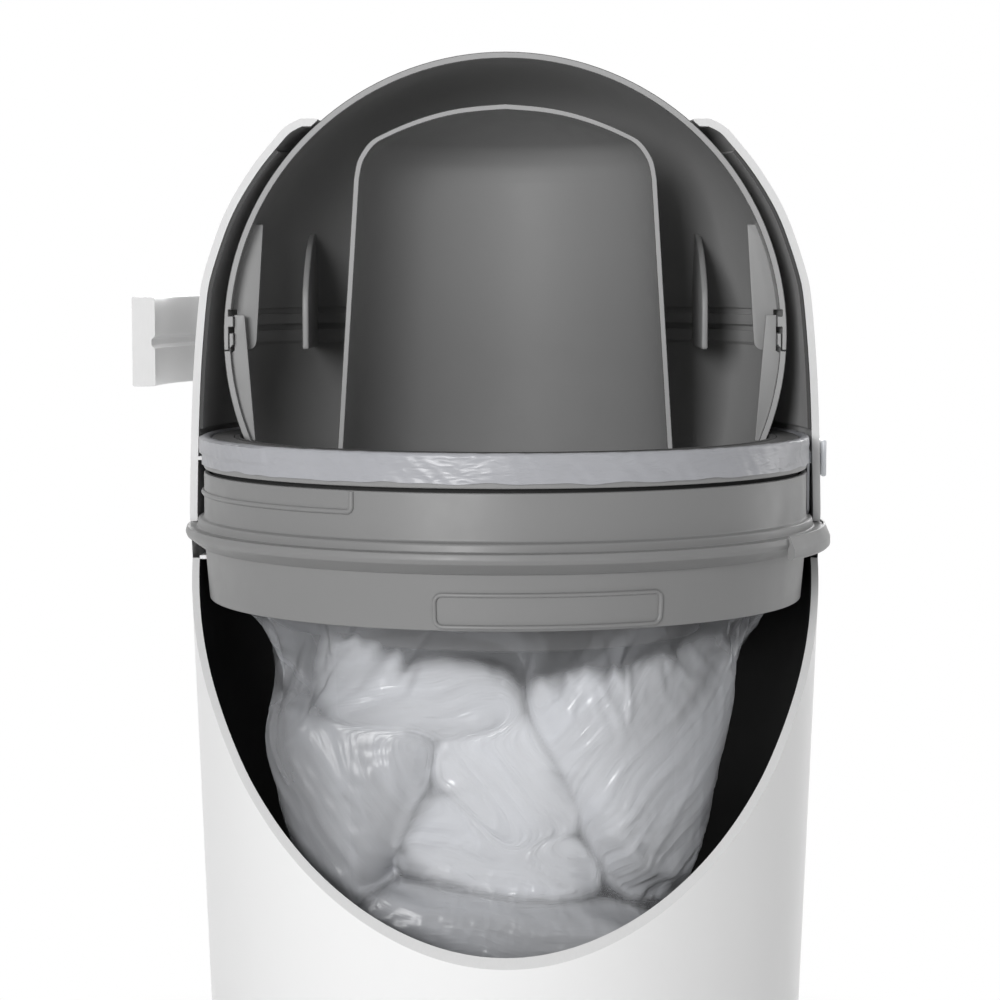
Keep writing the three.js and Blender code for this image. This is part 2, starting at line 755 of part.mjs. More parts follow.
// A rectangle with rounded corners, as x, z points
function roundedOutline(left, right, low, high, corner) {
  const centres = [
    [right - corner, high - corner], [left + corner, high - corner],
    [left + corner, low + corner], [right - corner, low + corner],
  ];
  return centres.flatMap(([x, z], quarter) => {
    const points = [];
    for (let i = 0; i <= cornerSteps; i += 1) {
      const angle = toRadians(quarterTurn * (quarter + i / cornerSteps));
      points.push([x + corner * Math.cos(angle), z + corner * Math.sin(angle)]);
    }
    return points;
  });
}

function frameMark() {
  const framed = (inset) => roundedOutline(
    frameLeft + inset, frameRight - inset, frameBottom + inset, frameTop - inset, frameCorner - inset / 2,
  );
  const outer = framed(0);
  const inner = framed(frameWidth);
  const reach = -outermost;
  return prismAlongY(outer, reach, 0).subtract(prismAlongY(inner, reach - overrun, overrun));
}

// The stretch of the collar at the right that has the keeper's edge
function keeperStretch() {
  const reach = keeperRadius * Math.sin(toRadians(keeperSpan));
  return rightStretch(turned(collarOutline(keeperOutline)), -reach, reach);
}

// Room in the collar for the stem, the hook and the plate, as far as they travel
function hookSlot() {
  const slot = ring(lockInner - lockGap, lockOuter + lockGap, hookBottom, collarTop);
  const stemEnd = stemStart + stemWidth + Math.max(hookReach, lockTravel);
  const plateEnd = lockStart + lockPlateLength + lockTravel;
  return rightStretch(slot, stemStart - 2 * lockGap, Math.max(stemEnd, plateEnd) + 2 * lockGap);
}

function collar() {
  const marks = stepMark().add(frameMark()).intersect(markSkin());
  return turned(collarOutline(lipOutline)).add(keeperStretch()).add(marks).subtract(hookSlot());
}

function bagRing() {
  return turned([
    [ringInner, ledgeTop + seatGap], [ringInner + ringSpigotWall, ledgeTop + seatGap],
    [ringInner + ringSpigotWall, ringBottom], [collarRadius, ringBottom], [collarRadius, ringTop],
    [ringRimInner, ringTop], [ringRimInner, ringShelf], [ringInner, ringShelf],
  ]);
}

// Liner bag: a cuff over the bag ring, a neck inside it, and the bag down to the pail's floor
function linerBag() {
  const half = filmThickness / 2;
  const away = seatGap + half;
  const neck = ringInner - away;
  const floor = pailFloor + bagFloorGap + half - axisHeight;
  const body = bagShares.map(([u, v]) => [u * neck, skirtBottom + v * (floor - skirtBottom)]);
  const path = [
    [collarRadius + away, filmCuff], [collarRadius + away, filmTop - half],
    [ringRimInner - away, filmTop - half], [ringRimInner - away, ringShelf + away],
    [neck, ringShelf + away], [neck, skirtBottom], ...body,
  ];
  return turned([...offsetLine(path, -half), ...offsetLine(path, half).reverse()]);
}

// Throat: flange on the bag ring, shelf for the seal, bowl round the drum, tube below
function throatFunnel() {
  const outerBowl = bowlRadius + throatWall;
  const shelf = flangeTop - shelfDepth;
  const under = shelf - throatWall;
  const outerTube = throatRadius + throatWall;
  const shelfOuter = shelfRadius + shelfWall;
  const tubeTop = -angleAt(ballWidthAt(throatRadius, bowlRadius), bowlRadius);
  const outerTubeTop = -angleAt(ballWidthAt(outerTube, outerBowl), outerBowl);
  return turned([
    [throatRadius, throatBottom], [outerTube, throatBottom],
    ...arc(outerBowl, outerTubeTop, angleAt(under, outerBowl), throatArcSteps),
    [shelfOuter, under], [shelfOuter, flangeTop - flangeThickness],
    [flangeRadius, flangeTop - flangeThickness], [flangeRadius, flangeTop],
    [shelfRadius, flangeTop], [shelfRadius, shelf],
    ...arc(bowlRadius, angleAt(shelf, bowlRadius), tubeTop, throatArcSteps),
  ]);
}

// Seal: a soft ring that closes the gap between the throat's flange and the drum
function drumSeal() {
  const low = flangeTop - shelfDepth + seatGap;
  const high = flangeTop + sealProud;
  const outer = shelfRadius - seatGap;
  const sealBall = drumRadius + sealGap;
  return turned([
    [ballWidthAt(low, sealBall), low], [outer, low], [outer, high], [ballWidthAt(high, sealBall), high],
  ]);
}

// Pail: a tapered tube with a flat base, its rim sloped like the collar's chamfer
function pailOutline() {
  const base = -axisHeight;
  const innerAt = (height) => pailBaseRadius - pailWall + pailTaper * height;
  return [
    [0, base], [pailBaseRadius - pailBaseChamfer, base],
    [pailBaseRadius + pailTaper * pailBaseChamfer, base + pailBaseChamfer],
    [pailRimRadius, rimOuter], [pailRimRadius - pailWall, rimInner],
    [innerAt(pailFloor), base + pailFloor], [0, base + pailFloor],
  ];
}

// The front is cut away: upright above the window's top, then along a slope that steepens
function windowCut() {
  const slope = windowShares.map(([u, v]) => [-u * windowDepth, windowTop - v * windowDrop]);
  const outline = [[0, overrun], ...slope, [-outermost, slope.at(-1)[1]], [-outermost, overrun]];
  return prismAlongX(outline.reverse(), -outermost, outermost);
}

function pailRibs() {
  const half = ribThickness / 2;
  const bands = pailRibDrops.map((drop, i) => {
    const height = chamferBottom - drop;
    const wallMiddle = pailRimRadius - pailWall / 2 + pailTaper * (height - rimOuter);
    return ring(skirtTopRadius + pailRibGaps[i], wallMiddle, height - half, height + half);
  });
  return mirrorX(rightStretch(bands[0].add(bands[1]), 0, ribLength));
}

function pailBody() {
  return turned(pailOutline()).subtract(windowCut()).add(pailRibs());
}

// Lock slider: plate and hook inside the shell, pad outside it, and the neck that joins them
function lockBand(low, high, start, length) {
  return rightStretch(ring(lockInner, lockOuter, low, high), start, start + length);
}

function lockPad() {
  const high = lockTop + lockPadRise;
  const low = high - lockPadHeight;
  const band = turned([
    [lockPadInner, low], [lockPadRadius - lockPadEdge, low], [lockPadRadius, low + lockPadEdge],
    [lockPadRadius, high - lockPadEdge], [lockPadRadius - lockPadEdge, high], [lockPadInner, high],
  ]);
  return rightStretch(band, lockPadStart, lockPadStart + lockPadLength);
}

function lockSlider() {
  const plateBottom = lipTop + lockPlateLift;
  const plate = lockBand(plateBottom, lockTop, lockStart, lockPlateLength);
  const stem = lockBand(hookBottom, plateBottom, stemStart, stemWidth);
  const hook = lockBand(hookBottom, hookTop, stemStart, stemWidth + hookReach);
  const neckRing = ring(lockInner, lockPadInner + lockPadEdge, neckBottom, neckTop);
  const neck = rightStretch(neckRing, neckStart, neckStart + neckWidth);
  return plate.add(stem).add(hook).add(neck).add(lockPad());
}

// The scene: each piece is a named mesh, in the group of the body it moves with
function piece(name, solid, material) {
  const mesh = new THREE.Mesh(geometryFrom(solid), material);
  mesh.name = name;
  return mesh;
}

const pail = new THREE.Group();
pail.add(
  piece('pail_body', pailBody(), whitePlastic),
  piece('collar', collar(), greyPlastic),
  piece('bag_ring', bagRing(), greyPlastic),
  piece('throat_funnel', throatFunnel(), midPlastic),
  piece('drum_seal', drumSeal(), rubber),
  piece('liner_bag', linerBag(), film),
);

const head = new THREE.Group();
head.add(
  piece('head_shell', headShell(), whitePlastic),
  piece('head_liner', headLiner(), darkPlastic),
  piece('pivot_bush', pivotBush(), midPlastic),
  piece('lock_slider', lockSlider(), whitePlastic),
);
bushScrewPlaces().forEach((place, i) => head.add(piece(`bush_screw_${i + 1}`, bushScrew(place), steel)));

const drum = new THREE.Group();
drum.add(
  piece('drum_dome', drumDome(), darkPlastic),
  piece('drum_bowl', drumBowl(), darkPlastic),
  piece('drum_cup', drumCup(), darkPlastic),
  piece('drum_axle', drumAxle(), steel),
  piece('stop_washer', stopWasher(), steel),
  piece('handle', handleBand(), whitePlastic),
  piece('handle_screw', handleScrew(), steel),
  piece('hub_cap', hubCap(), whitePlastic),
);
head.add(drum);

const nappyBin = new THREE.Group();
nappyBin.add(pail, head);
nappyBin.position.z = axisHeight;

export default nappyBin;
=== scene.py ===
# The sectioned nappy bin, dressed for its picture: smooth mouldings, cut faces, steel parts and the
# crinkled film of the liner bag. Shapes are drawn in millimetres, with heights measured from the
# drum's axis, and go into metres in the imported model's frame when a mesh is made.

import json
import math

import bmesh
import bpy
import numpy as np
from mathutils import Matrix, Vector, noise
from mathutils.bvhtree import BVHTree

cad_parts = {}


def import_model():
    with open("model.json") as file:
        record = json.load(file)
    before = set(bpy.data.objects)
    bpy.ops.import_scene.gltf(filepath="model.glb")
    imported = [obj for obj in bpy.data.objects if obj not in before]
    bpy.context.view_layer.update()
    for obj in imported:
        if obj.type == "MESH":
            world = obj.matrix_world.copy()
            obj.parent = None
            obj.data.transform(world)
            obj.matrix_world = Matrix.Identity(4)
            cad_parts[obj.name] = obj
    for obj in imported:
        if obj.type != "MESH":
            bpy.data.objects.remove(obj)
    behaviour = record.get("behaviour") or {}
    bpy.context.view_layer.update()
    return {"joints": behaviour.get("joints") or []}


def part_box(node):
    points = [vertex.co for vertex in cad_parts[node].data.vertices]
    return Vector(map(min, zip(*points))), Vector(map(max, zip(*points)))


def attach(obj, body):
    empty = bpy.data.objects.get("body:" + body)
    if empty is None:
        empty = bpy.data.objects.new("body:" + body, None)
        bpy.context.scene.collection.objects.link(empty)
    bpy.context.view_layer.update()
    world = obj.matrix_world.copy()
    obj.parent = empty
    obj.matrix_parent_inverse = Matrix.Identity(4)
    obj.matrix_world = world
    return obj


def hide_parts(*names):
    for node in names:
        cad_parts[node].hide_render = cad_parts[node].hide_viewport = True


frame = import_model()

MM = 0.001
LOW, HIGH = 0, 1
AXIS_HEIGHT = next(j["pos_m"][2] for j in frame["joints"] if j["name"] == "drum_flip")


def edge_of(node, end, axis):
    """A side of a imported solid's box in millimetres, heights from the drum's axis"""
    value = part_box(node)[end]["xyz".index(axis)]
    return (value - (AXIS_HEIGHT if axis == "z" else 0)) / MM


# Fineness and roundness of the meshes. ARC_STEP is in degrees, and the angles below it are radians.
# An outline's corner that turns by less than SOFT_TURN stays as it is, and none is eased over more
# than SIDE_SHARE of its shorter side.
FULL_TURN = 360
QUARTER_TURN = 90
RING_STEPS = 240
PIN_STEPS = 64
CORNER_STEPS = 4
ARC_STEP = 2.5
SOFT_TURN = math.radians(14)
SHARPEST_TURN = 2.6
SHARP_ANGLE = math.radians(35)
POLE_ANGLE = 1.57
SIDE_SHARE = 0.45
BEVEL_STEPS = 3
BEVEL_FROM = math.radians(50)
MERGE_DISTANCE = MM / 500

# How faces are told apart: by the way they look, and by how near the section plane or a wall they lie
FACING = 0.9
LOOKING_IN = -0.15
SECTION_TOLERANCE = 0.05
WALL_TOLERANCE = 1

# How far a cutting solid reaches past what it cuts and a joined one into what it joins, and the gap
# between two seated pieces
OVERRUN = 20
OVERLAP = 1
SEAT_GAP = 0.3

# Large sizes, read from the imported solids
drum_radius = edge_of("drum_dome", HIGH, "z")
shell_radius = -edge_of("head_shell", LOW, "x")
shell_rim = edge_of("head_shell", LOW, "z")
shell_top = edge_of("head_shell", HIGH, "z")
pail_base = edge_of("pail_body", LOW, "z")
pail_rim_radius = edge_of("pail_body", HIGH, "y")
rim_outer = edge_of("pail_body", HIGH, "z")
lip_radius = -edge_of("collar", LOW, "x")
collar_top = edge_of("collar", HIGH, "z")
skirt_bottom = edge_of("collar", LOW, "z")
collar_radius = -edge_of("bag_ring", LOW, "x")
ring_low = edge_of("bag_ring", LOW, "z")
ring_top = edge_of("bag_ring", HIGH, "z")
film_top = edge_of("liner_bag", HIGH, "z")
film_floor = edge_of("liner_bag", LOW, "z")
throat_bottom = edge_of("throat_funnel", LOW, "z")
flange_top = edge_of("throat_funnel", HIGH, "z")
flange_radius = edge_of("throat_funnel", HIGH, "x")
liner_bottom = edge_of("head_liner", LOW, "z")
liner_top = edge_of("head_liner", HIGH, "z")
cup_crown = edge_of("drum_cup", HIGH, "z")
cup_mouth = edge_of("drum_cup", LOW, "z")
band_outer = -edge_of("handle", LOW, "x")
band_bottom = edge_of("handle", LOW, "z")
washer_face = edge_of("stop_washer", LOW, "y")
axle_end = edge_of("drum_axle", HIGH, "y")
axle_start = edge_of("drum_axle", LOW, "y")

# Walls and steps of the mouldings
drum_wall = 3
lap_wall = 2.3
bead_depth = 2.3
run_gap = 1.2
cup_wall = 2.6
cup_shoulder_radius = 71.8
cup_crown_rise = 35.6
cup_draft = math.tan(math.radians(3.68))
shell_wall = 3.6
liner_wall = 1.6
pail_wall = 3.5
pail_floor = 4
collar_wall = 2.5
throat_wall = 2.2
inner_radius = drum_radius - drum_wall
lap_radius = drum_radius - lap_wall
tongue_radius = lap_radius - bead_depth
bowl_radius = drum_radius + run_gap


def soft_shares(points, per):
    """A smooth line through a few chosen points, each stretch a Catmull-Rom curve of so many steps"""
    ends = [2 * np.array(points[0]) - np.array(points[1]), 2 * np.array(points[-1]) - np.array(points[-2])]
    line = [ends[0], *map(np.array, points), ends[1]]
    result = []
    for a, b, c, d in zip(line, line[1:], line[2:], line[3:]):
        for i in range(per):
            t = i / per
            bend = (2 * b + (c - a) * t + (2 * a - 5 * b + 4 * c - d) * t * t
                    + (3 * b - a - 3 * c + d) * t * t * t) / 2
            result.append(tuple(bend))
    return [*result, tuple(points[-1])]


def angle_at(height, radius):
    """The angle up from level, in degrees, at which a ball of that radius has that height"""
    return math.degrees(math.asin(height / radius))


def width_at(height, radius):
    """A ball's half width at a height"""
    return math.sqrt(radius * radius - height * height)


def arc(radius, start, end):
    """Points of an arc round the drum's centre, angles in degrees up from level"""
    steps = max(1, math.ceil(abs(end - start) / ARC_STEP))
    angles = [math.radians(start + (end - start) * i / steps) for i in range(steps + 1)]
    return [(max(0, radius * math.cos(a)) if abs(a) < POLE_ANGLE else 0, radius * math.sin(a))
            for a in angles]


def rounded(points, radius=0.4, steps=CORNER_STEPS):
    """A closed outline with its corners eased. A point's third value is its own corner radius."""
    result = []
    for i, point in enumerate(points):
        here = np.array(point[:2], float)
        before = np.array(points[i - 1][:2]) - here
        after = np.array(points[(i + 1) % len(points)][:2]) - here
        sides = np.linalg.norm(before), np.linalg.norm(after)
        wanted = point[2] if len(point) > 2 else radius
        turn = math.pi - math.acos(np.clip(before @ after / (sides[0] * sides[1]), -1, 1))
        if turn < SOFT_TURN or wanted == 0 or here[0] == 0:
            result.append(tuple(here))
            continue
        reach = min(wanted * math.tan(min(turn, SHARPEST_TURN) / 2), SIDE_SHARE * min(sides))
        start = here + before / sides[0] * reach
        end = here + after / sides[1] * reach
        for k in range(steps + 1):
            t = k / steps
            result.append(tuple((1 - t) ** 2 * start + 2 * t * (1 - t) * here + t * t * end))
    return result


def offset_line(points, distance):
    """A line moved sideways to the left of its direction"""
    line = np.array([p[:2] for p in points], float)
    along = np.diff(line, axis=0)
    along /= np.linalg.norm(along, axis=1)[:, None]
    normals = np.stack([-along[:, 1], along[:, 0]], axis=1)
    before = np.vstack([normals[:1], normals])
    after = np.vstack([normals, normals[-1:]])
    total = before + after
    moved = line + total * (2 * distance / (total ** 2).sum(axis=1))[:, None]
    return [(0.0 if p[0] == 0 else q[0], q[1]) for p, q in zip(line, moved)]


def upright(across, aside, along):
    return across, aside, along


def along_axle(across, aside, along):
    return across, along, aside


def mesh_object(name, vertices, faces):
    """A mesh object at the origin from points in millimetres, its doubles merged, faces outwards"""
    work = bmesh.new()
    points = [work.verts.new((x * MM, y * MM, z * MM + AXIS_HEIGHT)) for x, y, z in vertices]
    for face in faces:
        work.faces.new([points[i] for i in face])
    bmesh.ops.remove_doubles(work, verts=work.verts, dist=MERGE_DISTANCE)
    bmesh.ops.recalc_face_normals(work, faces=work.faces)
    mesh = bpy.data.meshes.new(name)
    work.to_mesh(mesh)
    work.free()
    made = bpy.data.objects.new(name, mesh)
    bpy.context.scene.collection.objects.link(made)
    return made


def lathe(name, outline, start=0, end=FULL_TURN, steps=RING_STEPS, place=upright):
    """A solid turned from a closed outline of (radius, height), capped where it stops short"""
    whole = end - start >= FULL_TURN
    count = steps if whole else max(2, round(steps * (end - start) / FULL_TURN))
    angles = [math.radians(start + (end - start) * i / count) for i in range(count + (not whole))]
    size = len(outline)
    vertices = [place(r * math.cos(a), r * math.sin(a), h) for a in angles for r, h in outline]
    faces = []
    for i in range(count):
        here, there = i * size, (i + 1) % len(angles) * size
        for j in range(size):
            k = (j + 1) % size
            if outline[j][0] > 0 or outline[k][0] > 0:
                faces.append((here + j, there + j, there + k, here + k))
    if not whole:
        faces.append(tuple(range(size)))
        faces.append(tuple(range(count * size, (count + 1) * size))[::-1])
    return mesh_object(name, vertices, faces)


def prism(name, outline, low, high, place):
    """A solid of one section; place turns (u, v, along) into a point"""
    size = len(outline)
    vertices = [place(u, v, along) for along in (low, high) for u, v in outline]
    sides = [(j, (j + 1) % size, size + (j + 1) % size, size + j) for j in range(size)]
    return mesh_object(name, vertices, [*sides, tuple(range(size)), tuple(range(size, 2 * size))])


def seen_from_front(u, v, along):
    return u, along, v


def seen_from_side(u, v, along):
    return along, u, v


def block(name, x0, x1, y0, y1, z0, z1):
    return prism(name, [(x0, z0), (x1, z0), (x1, z1), (x0, z1)], y0, y1, seen_from_front)


def bake(piece):
    """Turns a piece's modifiers into mesh"""
    evaluated = piece.evaluated_get(bpy.context.evaluated_depsgraph_get())
    result = bpy.data.meshes.new_from_object(evaluated)
    piece.modifiers.clear()
    old, piece.data = piece.data, result
    bpy.data.meshes.remove(old)
    return piece


def combine(piece, other, operation):
    """Joins, cuts or trims a piece with another solid, which is used up"""
    tool = piece.modifiers.new(operation, "BOOLEAN")
    tool.operation = operation
    tool.solver = "EXACT"
    tool.material_mode = "TRANSFER"
    tool.object = other
    bake(piece)
    bpy.data.objects.remove(other)
    return piece


def join(piece, *others):
    for other in others:
        combine(piece, other, "UNION")
    return piece


def cut(piece, *others):
    for other in others:
        combine(piece, other, "DIFFERENCE")
    return piece


def trim(piece, other):
    return combine(piece, other, "INTERSECT")


def mirrored(piece, name):
    """A copy of a piece on the other side of the middle plane, with its faces turned back out"""
    twin = bpy.data.objects.new(name, piece.data.copy())
    twin.data.transform(Matrix.Diagonal((-1, 1, 1, 1)))
    twin.data.flip_normals()
    bpy.context.scene.collection.objects.link(twin)
    return twin


def face_table(mesh):
    """Centres in millimetres from the drum's axis, and normals, of all faces"""
    count = len(mesh.polygons)
    centres, normals = np.empty(count * 3), np.empty(count * 3)
    mesh.polygons.foreach_get("center", centres)
    mesh.polygons.foreach_get("normal", normals)
    centres = (centres.reshape(-1, 3) - (0, 0, AXIS_HEIGHT)) / MM
    return centres, normals.reshape(-1, 3)


def on_section(centres, normals):
    """Faces that the section plane has laid bare"""
    return (np.abs(centres[:, 1]) < SECTION_TOLERANCE) & (normals[:, 1] < -FACING)


def facing_in(centres, normals):
    """Faces of a shell's inner side"""
    across = centres[:, :2] / np.maximum(np.linalg.norm(centres[:, :2], axis=1), 1)[:, None]
    return (across * normals[:, :2]).sum(axis=1) < LOOKING_IN


def dress(piece, body, slot, nodes, *finishes, sharp=SHARP_ANGLE):
    """Smooth shading, materials, body and the nodes that a piece stands for; its slot is not used. Each
    finish after the first comes with the rule that picks its faces. Without any, a piece keeps what it has."""
    mesh = piece.data
    if finishes:
        mesh.materials.clear()
        mesh.materials.append(finishes[0])
        picked = np.zeros(len(mesh.polygons), np.int32)
        centres, normals = face_table(mesh)
        for i, (finish, rule) in enumerate(finishes[1:], 1):
            mesh.materials.append(finish)
            picked[rule(centres, normals)] = i
        mesh.polygons.foreach_set("material_index", picked)
    mesh.polygons.foreach_set("use_smooth", np.ones(len(mesh.polygons), bool))
    mesh.set_sharp_from_angle(angle=sharp)
    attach(piece, body)
    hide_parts(*nodes)
    return piece


def outlined(piece, width, picked, finish):
    """Gives the faces of one material a thin edge of another, as paint leaves along a sawn corner"""
    mesh = piece.data
    mesh.materials.append(finish)
    work = bmesh.new()
    work.from_mesh(mesh)
    faces = [face for face in work.faces if face.material_index == picked]
    faces = bmesh.ops.triangulate(work, faces=faces)["faces"]
    made = bmesh.ops.inset_region(
        work, faces=faces, thickness=width * MM, use_even_offset=False, use_boundary=True)
    for face in made["faces"]:
        face.material_index = len(mesh.materials) - 1
        face.smooth = True
    work.to_mesh(mesh)
    work.free()
    mesh.set_sharp_from_angle(angle=SHARP_ANGLE)
    return piece


def linear(colour):
    """An sRGB hex colour as linear values"""
    parts = [int(colour[i:i + 2], 16) / 255 for i in (1, 3, 5)]
    return (*[c / 12.92 if c <= 0.04045 else ((c + 0.055) / 1.055) ** 2.4 for c in parts], 1)


def add(tree, kind, inputs=None, **settings):
    """Adds a node with its settings; an input is a value or the socket that feeds it"""
    made = tree.nodes.new(kind)
    for key, value in settings.items():
        setattr(made, key, value)
    for key, value in (inputs or {}).items():
        if isinstance(value, bpy.types.NodeSocket):
            tree.links.new(value, made.inputs[key])
        else:
            made.inputs[key].default_value = value
    return made


def new_material(name):
    made = bpy.data.materials.new(name)
    made.use_nodes = True
    made.node_tree.nodes.clear()
    return made, made.node_tree


# The numbers of a Mix node's sockets for colours, whose names its sockets for other values share
MIX_SHARE, MIX_ONE, MIX_OTHER, MIX_RESULT = 0, 6, 7, 2

# Widths of the finishes' patterns in millimetres, shares by which a pattern is drawn out, and the
# range that most of a noise's values lie in. A saw's real lines are finer than a picture of the whole
# bin can show, so they are drawn as wide as they need to be seen.
drift_width = 90
smear_width = 14
saw_line_width = 1.2
saw_line_share = 0.15
blotch_width = 3
layer_width = 24
crease_share = 0.14
hem_streak_share = 0.3
hem_slant = 20
crumple_widths = 2.5
crumple_depth_share = 0.3
ridge_depth_share = 0.2
NOISE_LOW, NOISE_HIGH = 0.3, 0.7
patchiness = 0.14
film_glow = 0.15


def per_metre(millimetres):
    """A noise scale whose pattern repeats about every so many millimetres"""
    return 1 / (millimetres * MM)


def moulded(name, colour, shade, roughness, gloss_spread, grain, depth, coat=0.0, gleam=0.5):
    """Injection moulded plastic: a tone that drifts a little, gloss that varies, and the tool's grain"""
    made, tree = new_material(name)
    place = add(tree, "ShaderNodeTexCoord").outputs["Object"]
    drift = add(tree, "ShaderNodeTexNoise", {
        "Vector": place, "Scale": per_metre(drift_width), "Detail": 3.0})
    smear = add(tree, "ShaderNodeTexNoise", {
        "Vector": place, "Scale": per_metre(smear_width), "Detail": 5.0})
    spread = add(tree, "ShaderNodeMapRange", {
        "Value": smear.outputs["Fac"], "From Min": NOISE_LOW, "From Max": NOISE_HIGH,
        "To Min": roughness - gloss_spread, "To Max": roughness + gloss_spread})
    fine = add(tree, "ShaderNodeTexNoise", {"Vector": place, "Scale": per_metre(grain), "Detail": 2.0})
    bump = add(tree, "ShaderNodeBump", {
        "Height": fine.outputs["Fac"], "Strength": 0.35, "Distance": depth * MM})
    tone = add(tree, "ShaderNodeMix", {
        MIX_SHARE: drift.outputs["Fac"], MIX_ONE: linear(colour), MIX_OTHER: linear(shade),
    }, data_type="RGBA")
    shader = add(tree, "ShaderNodeBsdfPrincipled", {
        "Base Color": tone.outputs[MIX_RESULT],
        "Roughness": spread.outputs["Result"], "Normal": bump.outputs["Normal"],
        "IOR": 1.5, "Specular IOR Level": gleam, "Coat Weight": coat, "Coat Roughness": 0.12})
    add(tree, "ShaderNodeOutputMaterial", {"Surface": shader.outputs["BSDF"]})
    return made


def section_cut(name, colour, shade):
    """Sawn and painted edge of a moulding: flat paint with faint lines of the saw"""
    made, tree = new_material(name)
    place = add(tree, "ShaderNodeTexCoord").outputs["Object"]
    stretched = add(tree, "ShaderNodeMapping", {"Vector": place, "Scale": (1, 1, saw_line_share)})
    lines = add(tree, "ShaderNodeTexNoise", {
        "Vector": stretched.outputs["Vector"], "Scale": per_metre(saw_line_width), "Detail": 3.0})
    bump = add(tree, "ShaderNodeBump", {
        "Height": lines.outputs["Fac"], "Strength": 0.3, "Distance": 0.05 * MM})
    tone = add(tree, "ShaderNodeMix", {
        MIX_SHARE: lines.outputs["Fac"], MIX_ONE: linear(colour), MIX_OTHER: linear(shade),
    }, data_type="RGBA")
    shader = add(tree, "ShaderNodeBsdfPrincipled", {
        "Base Color": tone.outputs[MIX_RESULT],
        "Roughness": 0.6, "Normal": bump.outputs["Normal"]})
    add(tree, "ShaderNodeOutputMaterial", {"Surface": shader.outputs["BSDF"]})
    return made


def zinc_plated_steel():
    """Zinc plated steel: a cool grey metal with a soft, slightly blotched shine"""
    made, tree = new_material("zinc_plated_steel")
    place = add(tree, "ShaderNodeTexCoord").outputs["Object"]
    blotch = add(tree, "ShaderNodeTexNoise", {
        "Vector": place, "Scale": per_metre(blotch_width), "Detail": 4.0})
    spread = add(tree, "ShaderNodeMapRange", {
        "Value": blotch.outputs["Fac"], "To Min": 0.22, "To Max": 0.42})
    tone = add(tree, "ShaderNodeMix", {
        MIX_SHARE: blotch.outputs["Fac"], MIX_ONE: linear("#b9bcc0"), MIX_OTHER: linear("#a2a6aa"),
    }, data_type="RGBA")
    shader = add(tree, "ShaderNodeBsdfPrincipled", {
        "Base Color": tone.outputs[MIX_RESULT],
        "Metallic": 1.0, "Roughness": spread.outputs["Result"]})
    add(tree, "ShaderNodeOutputMaterial", {"Surface": shader.outputs["BSDF"]})
    return made


def bag_film(name, milk, shade, free, pressed, free_gloss, pressed_gloss, crinkle, place):
    """Thin polyethylene film: milky where it is pressed on what it holds and clearer where it hangs
    free, with sharp glints along its creases. Its pressed mark also carries painted light and shade,
    from each hidden form's milkiness and a fade to the sides. The crinkle's width is in millimetres."""
    made, tree = new_material(name)
    across = place(tree)
    layers = add(tree, "ShaderNodeTexNoise", {
        "Vector": across, "Scale": per_metre(layer_width), "Detail": 4.0})
    ridges = add(tree, "ShaderNodeTexNoise", {
        "Vector": across, "Scale": per_metre(crinkle), "Detail": 4.0, "Roughness": 0.6, "Distortion": 0.5,
    }, noise_type="RIDGED_MULTIFRACTAL")
    crumple = add(tree, "ShaderNodeTexVoronoi", {
        "Vector": across, "Scale": per_metre(crinkle * crumple_widths), "Randomness": 1.0,
    }, feature="DISTANCE_TO_EDGE")
    facets = add(tree, "ShaderNodeBump", {
        "Height": crumple.outputs["Distance"], "Strength": 0.6,
        "Distance": crinkle * crumple_depth_share * MM})
    bump = add(tree, "ShaderNodeBump", {
        "Height": ridges.outputs["Fac"], "Strength": 0.7, "Distance": crinkle * ridge_depth_share * MM,
        "Normal": facets.outputs["Normal"]})
    # The pressed mark also carries painted light and shade from the forms' milkiness and the fade to the
    # sides
    touch = add(tree, "ShaderNodeAttribute", attribute_name="pressed").outputs["Fac"]
    gloss = add(tree, "ShaderNodeMapRange", {"Value": touch, "To Min": free_gloss, "To Max": pressed_gloss})
    tone = add(tree, "ShaderNodeMix", {
        MIX_SHARE: layers.outputs["Fac"], MIX_ONE: linear(milk), MIX_OTHER: linear(shade),
    }, data_type="RGBA")
    body = add(tree, "ShaderNodeBsdfPrincipled", {
        "Base Color": tone.outputs[MIX_RESULT],
        "Roughness": gloss.outputs["Result"], "IOR": 1.52, "Normal": bump.outputs["Normal"]})
    glow = add(tree, "ShaderNodeBsdfTranslucent", {"Color": linear(milk), "Normal": bump.outputs["Normal"]})
    milky = add(tree, "ShaderNodeMixShader", {0: film_glow, 1: body.outputs[0], 2: glow.outputs[0]})
    cover = add(tree, "ShaderNodeMapRange", {"Value": touch, "To Min": free, "To Max": pressed})
    patch = add(tree, "ShaderNodeMapRange", {
        "Value": layers.outputs["Fac"], "From Min": NOISE_LOW, "From Max": NOISE_HIGH,
        "To Min": -patchiness, "To Max": patchiness})
    share = add(tree, "ShaderNodeMath", {
        0: cover.outputs["Result"], 1: patch.outputs["Result"]}, operation="ADD", use_clamp=True)
    clear = add(tree, "ShaderNodeBsdfTransparent")
    film = add(tree, "ShaderNodeMixShader", {0: share.outputs[0], 1: clear.outputs[0], 2: milky.outputs[0]})
    add(tree, "ShaderNodeOutputMaterial", {"Surface": film.outputs[0]})
    return made


def along_creases(tree):
    """The bag's own map, laid along its creases: seven times longer than wide"""
    laid = add(tree, "ShaderNodeUVMap", uv_map="creases").outputs["UV"]
    return add(tree, "ShaderNodeMapping", {
        "Vector": laid, "Scale": (1, crease_share, 1)}).outputs["Vector"]


def along_hem(tree):
    """Slanting streaks on the cuff, which is pulled tight round its ring"""
    place = add(tree, "ShaderNodeTexCoord").outputs["Object"]
    return add(tree, "ShaderNodeMapping", {
        "Vector": place, "Rotation": (0, math.radians(hem_slant), 0),
        "Scale": (hem_streak_share, hem_streak_share, 1)}).outputs["Vector"]


